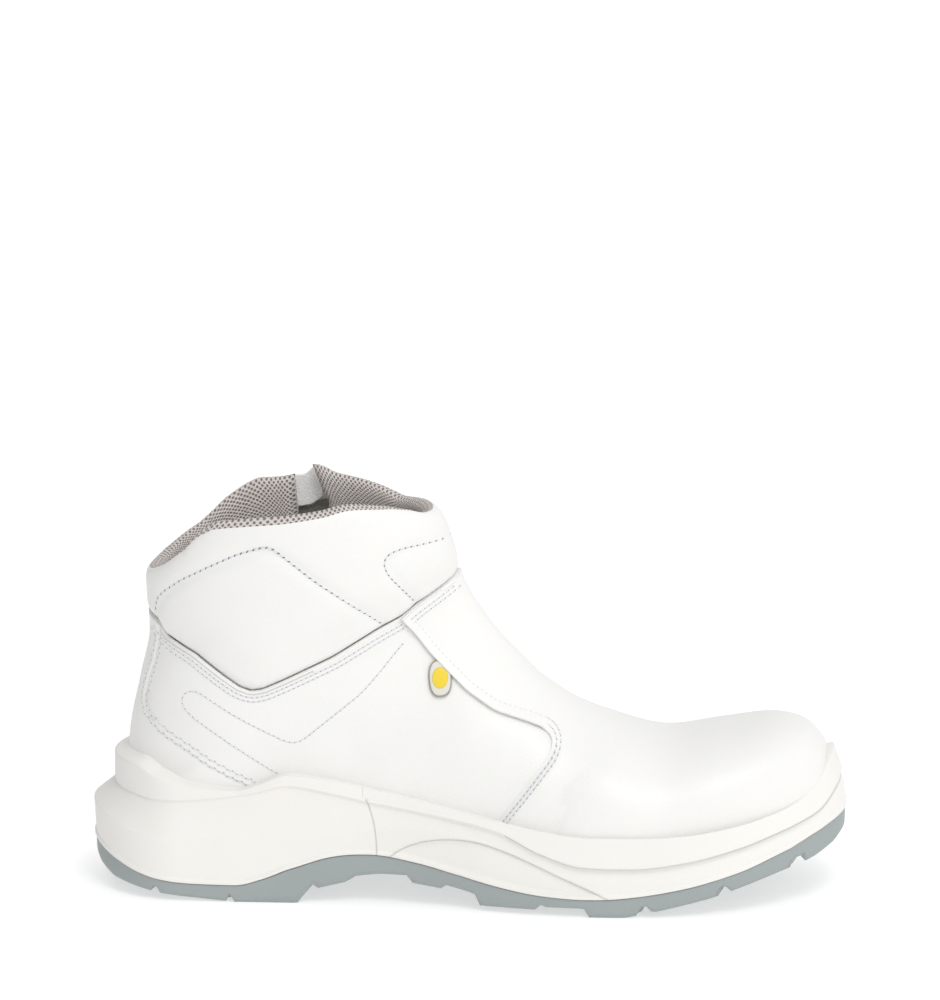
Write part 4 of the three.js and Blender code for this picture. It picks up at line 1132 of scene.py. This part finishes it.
def round_patch(name, node, half_wide, half_high, power, lift, thickness, look):
    """A rounded patch that follows the side of the upper."""
    def place(u, w):
        a, b = 2 * u - 1, 2 * w - 1
        reach = np.maximum(np.abs(a), np.abs(b))
        radial = (np.abs(a) ** power + np.abs(b) ** power) ** (1 / power)
        scale = np.where(radial > 0, reach / np.maximum(radial, 1e-9), 1)
        return tab_place(a * scale * half_wide, b * scale * half_high, lift - 0.15 * reach ** 6)

    mesh = sheet_mesh(name, 24, 24, place)
    piece = link(mesh, name, look)
    thicken(piece, thickness)
    return belongs(piece, node)


upper_shell()
vamp_overlay()
counter_overlay()
cuff_ring()
medial_patch("closure_flap", FLAP_WIDTH, 0.32, 0.95, PAD_PUFF + 3.1, 1.8, CUFF_LEATHER)
# The closure tape's lower part, coloured with painted shade of the white tape above it.
medial_patch("closure_tape", TAPE_WIDTH, 0.42, 0.80, PAD_PUFF + 1.1, 0.9, SHADED_TAPE)
medial_patch("closure_tape", SLIT_WIDTH + 6.0, 0.815, 0.985, PAD_PUFF + 0.2, 2.2, FUZZ)
midsole_body()
outsole_body()
insole_bed()
stitching()
round_patch("side_tab_rim", "side_tab", 4.5, 6.9, 2.6, 1.0, 0.9, TAB_RIM)
round_patch("side_tab_face", "side_tab", 4.0, 6.4, 2.6, 1.2, 0.4, TAB)
round_patch("tab_disc_face", "tab_disc", 3.1, 3.9, 2.0, 1.45, 0.4, DISC)


# Floor, light and camera

def floor():
    mesh = bpy.data.meshes.new("floor")
    bm = bmesh.new()
    bmesh.ops.create_grid(bm, x_segments=1, y_segments=1, size=6.0)
    bm.to_mesh(mesh)
    bm.free()
    look = bpy.data.materials.new("pale_floor")
    look.use_nodes = True
    shader = look.node_tree.nodes["Principled BSDF"]
    shader.inputs["Base Color"].default_value = (0.60, 0.60, 0.60, 1)
    shader.inputs["Roughness"].default_value = 0.9
    shader.inputs["Emission Color"].default_value = (1, 1, 1, 1)
    shader.inputs["Emission Strength"].default_value = 0.51
    piece = link(mesh, "floor", look)
    return piece


def area_light(name, place, aim, size, power):
    data = bpy.data.lights.new(name, "AREA")
    data.shape = "DISK"
    data.size = size
    data.energy = power
    lamp = bpy.data.objects.new(name, data)
    bpy.context.scene.collection.objects.link(lamp)
    lamp.location = place
    lamp.rotation_euler = (Vector(aim) - Vector(place)).to_track_quat("-Z", "Y").to_euler()
    return lamp


def camera():
    azimuth, elevation, distance = math.radians(4.0), math.radians(12.0), 2.2
    target = Vector((0.0005, 0.0, 0.1555))
    away = Vector((math.sin(azimuth) * math.cos(elevation), -math.cos(azimuth) * math.cos(elevation),
                   math.sin(elevation)))
    data = bpy.data.cameras.new("camera")
    data.sensor_width = 36.0
    data.lens = 200.2
    data.clip_end = 20.0
    eye = bpy.data.objects.new("camera", data)
    bpy.context.scene.collection.objects.link(eye)
    eye.location = target + away * distance
    eye.rotation_euler = (-away).to_track_quat("-Z", "Y").to_euler()
    bpy.context.scene.camera = eye


def side_fade(tree, value, low, high, dim, bright):
    fade = tree.nodes.new("ShaderNodeMapRange")
    fade.interpolation_type = "SMOOTHSTEP"
    for label, amount in (("From Min", low), ("From Max", high), ("To Min", dim), ("To Max", bright)):
        fade.inputs[label].default_value = amount
    tree.links.new(value, fade.inputs["Value"])
    return fade.outputs["Result"]


def studio_world():
    """A white backdrop, with light from the front, the toe's side and above, and grey behind the heel."""
    world = bpy.data.worlds.new("studio")
    world.use_nodes = True
    bpy.context.scene.world = world
    tree = world.node_tree
    place = tree.nodes.new("ShaderNodeTexCoord").outputs["Generated"]
    split = tree.nodes.new("ShaderNodeSeparateXYZ")
    tree.links.new(place, split.inputs[0])
    heel_side = side_fade(tree, split.outputs["X"], -0.9, -0.25, 0.15, 1.0)
    far_side = side_fade(tree, split.outputs["Y"], -0.2, 0.6, 1.0, 0.88)
    light = math_node(tree, "MULTIPLY", heel_side, far_side)
    seen = tree.nodes.new("ShaderNodeLightPath").outputs["Is Camera Ray"]
    background = tree.nodes["Background"]
    background.inputs["Color"].default_value = (1, 1, 1, 1)
    tree.links.new(math_node(tree, "MAXIMUM", light, math_node(tree, "MULTIPLY", seen, 1.05)),
                   background.inputs["Strength"])


floor()
area_light("key", (0.5, -1.25, 2.0), (0.05, 0, 0.08), 0.9, 12.5)
camera()
studio_world()
bpy.context.scene.view_settings.view_transform = "Standard"
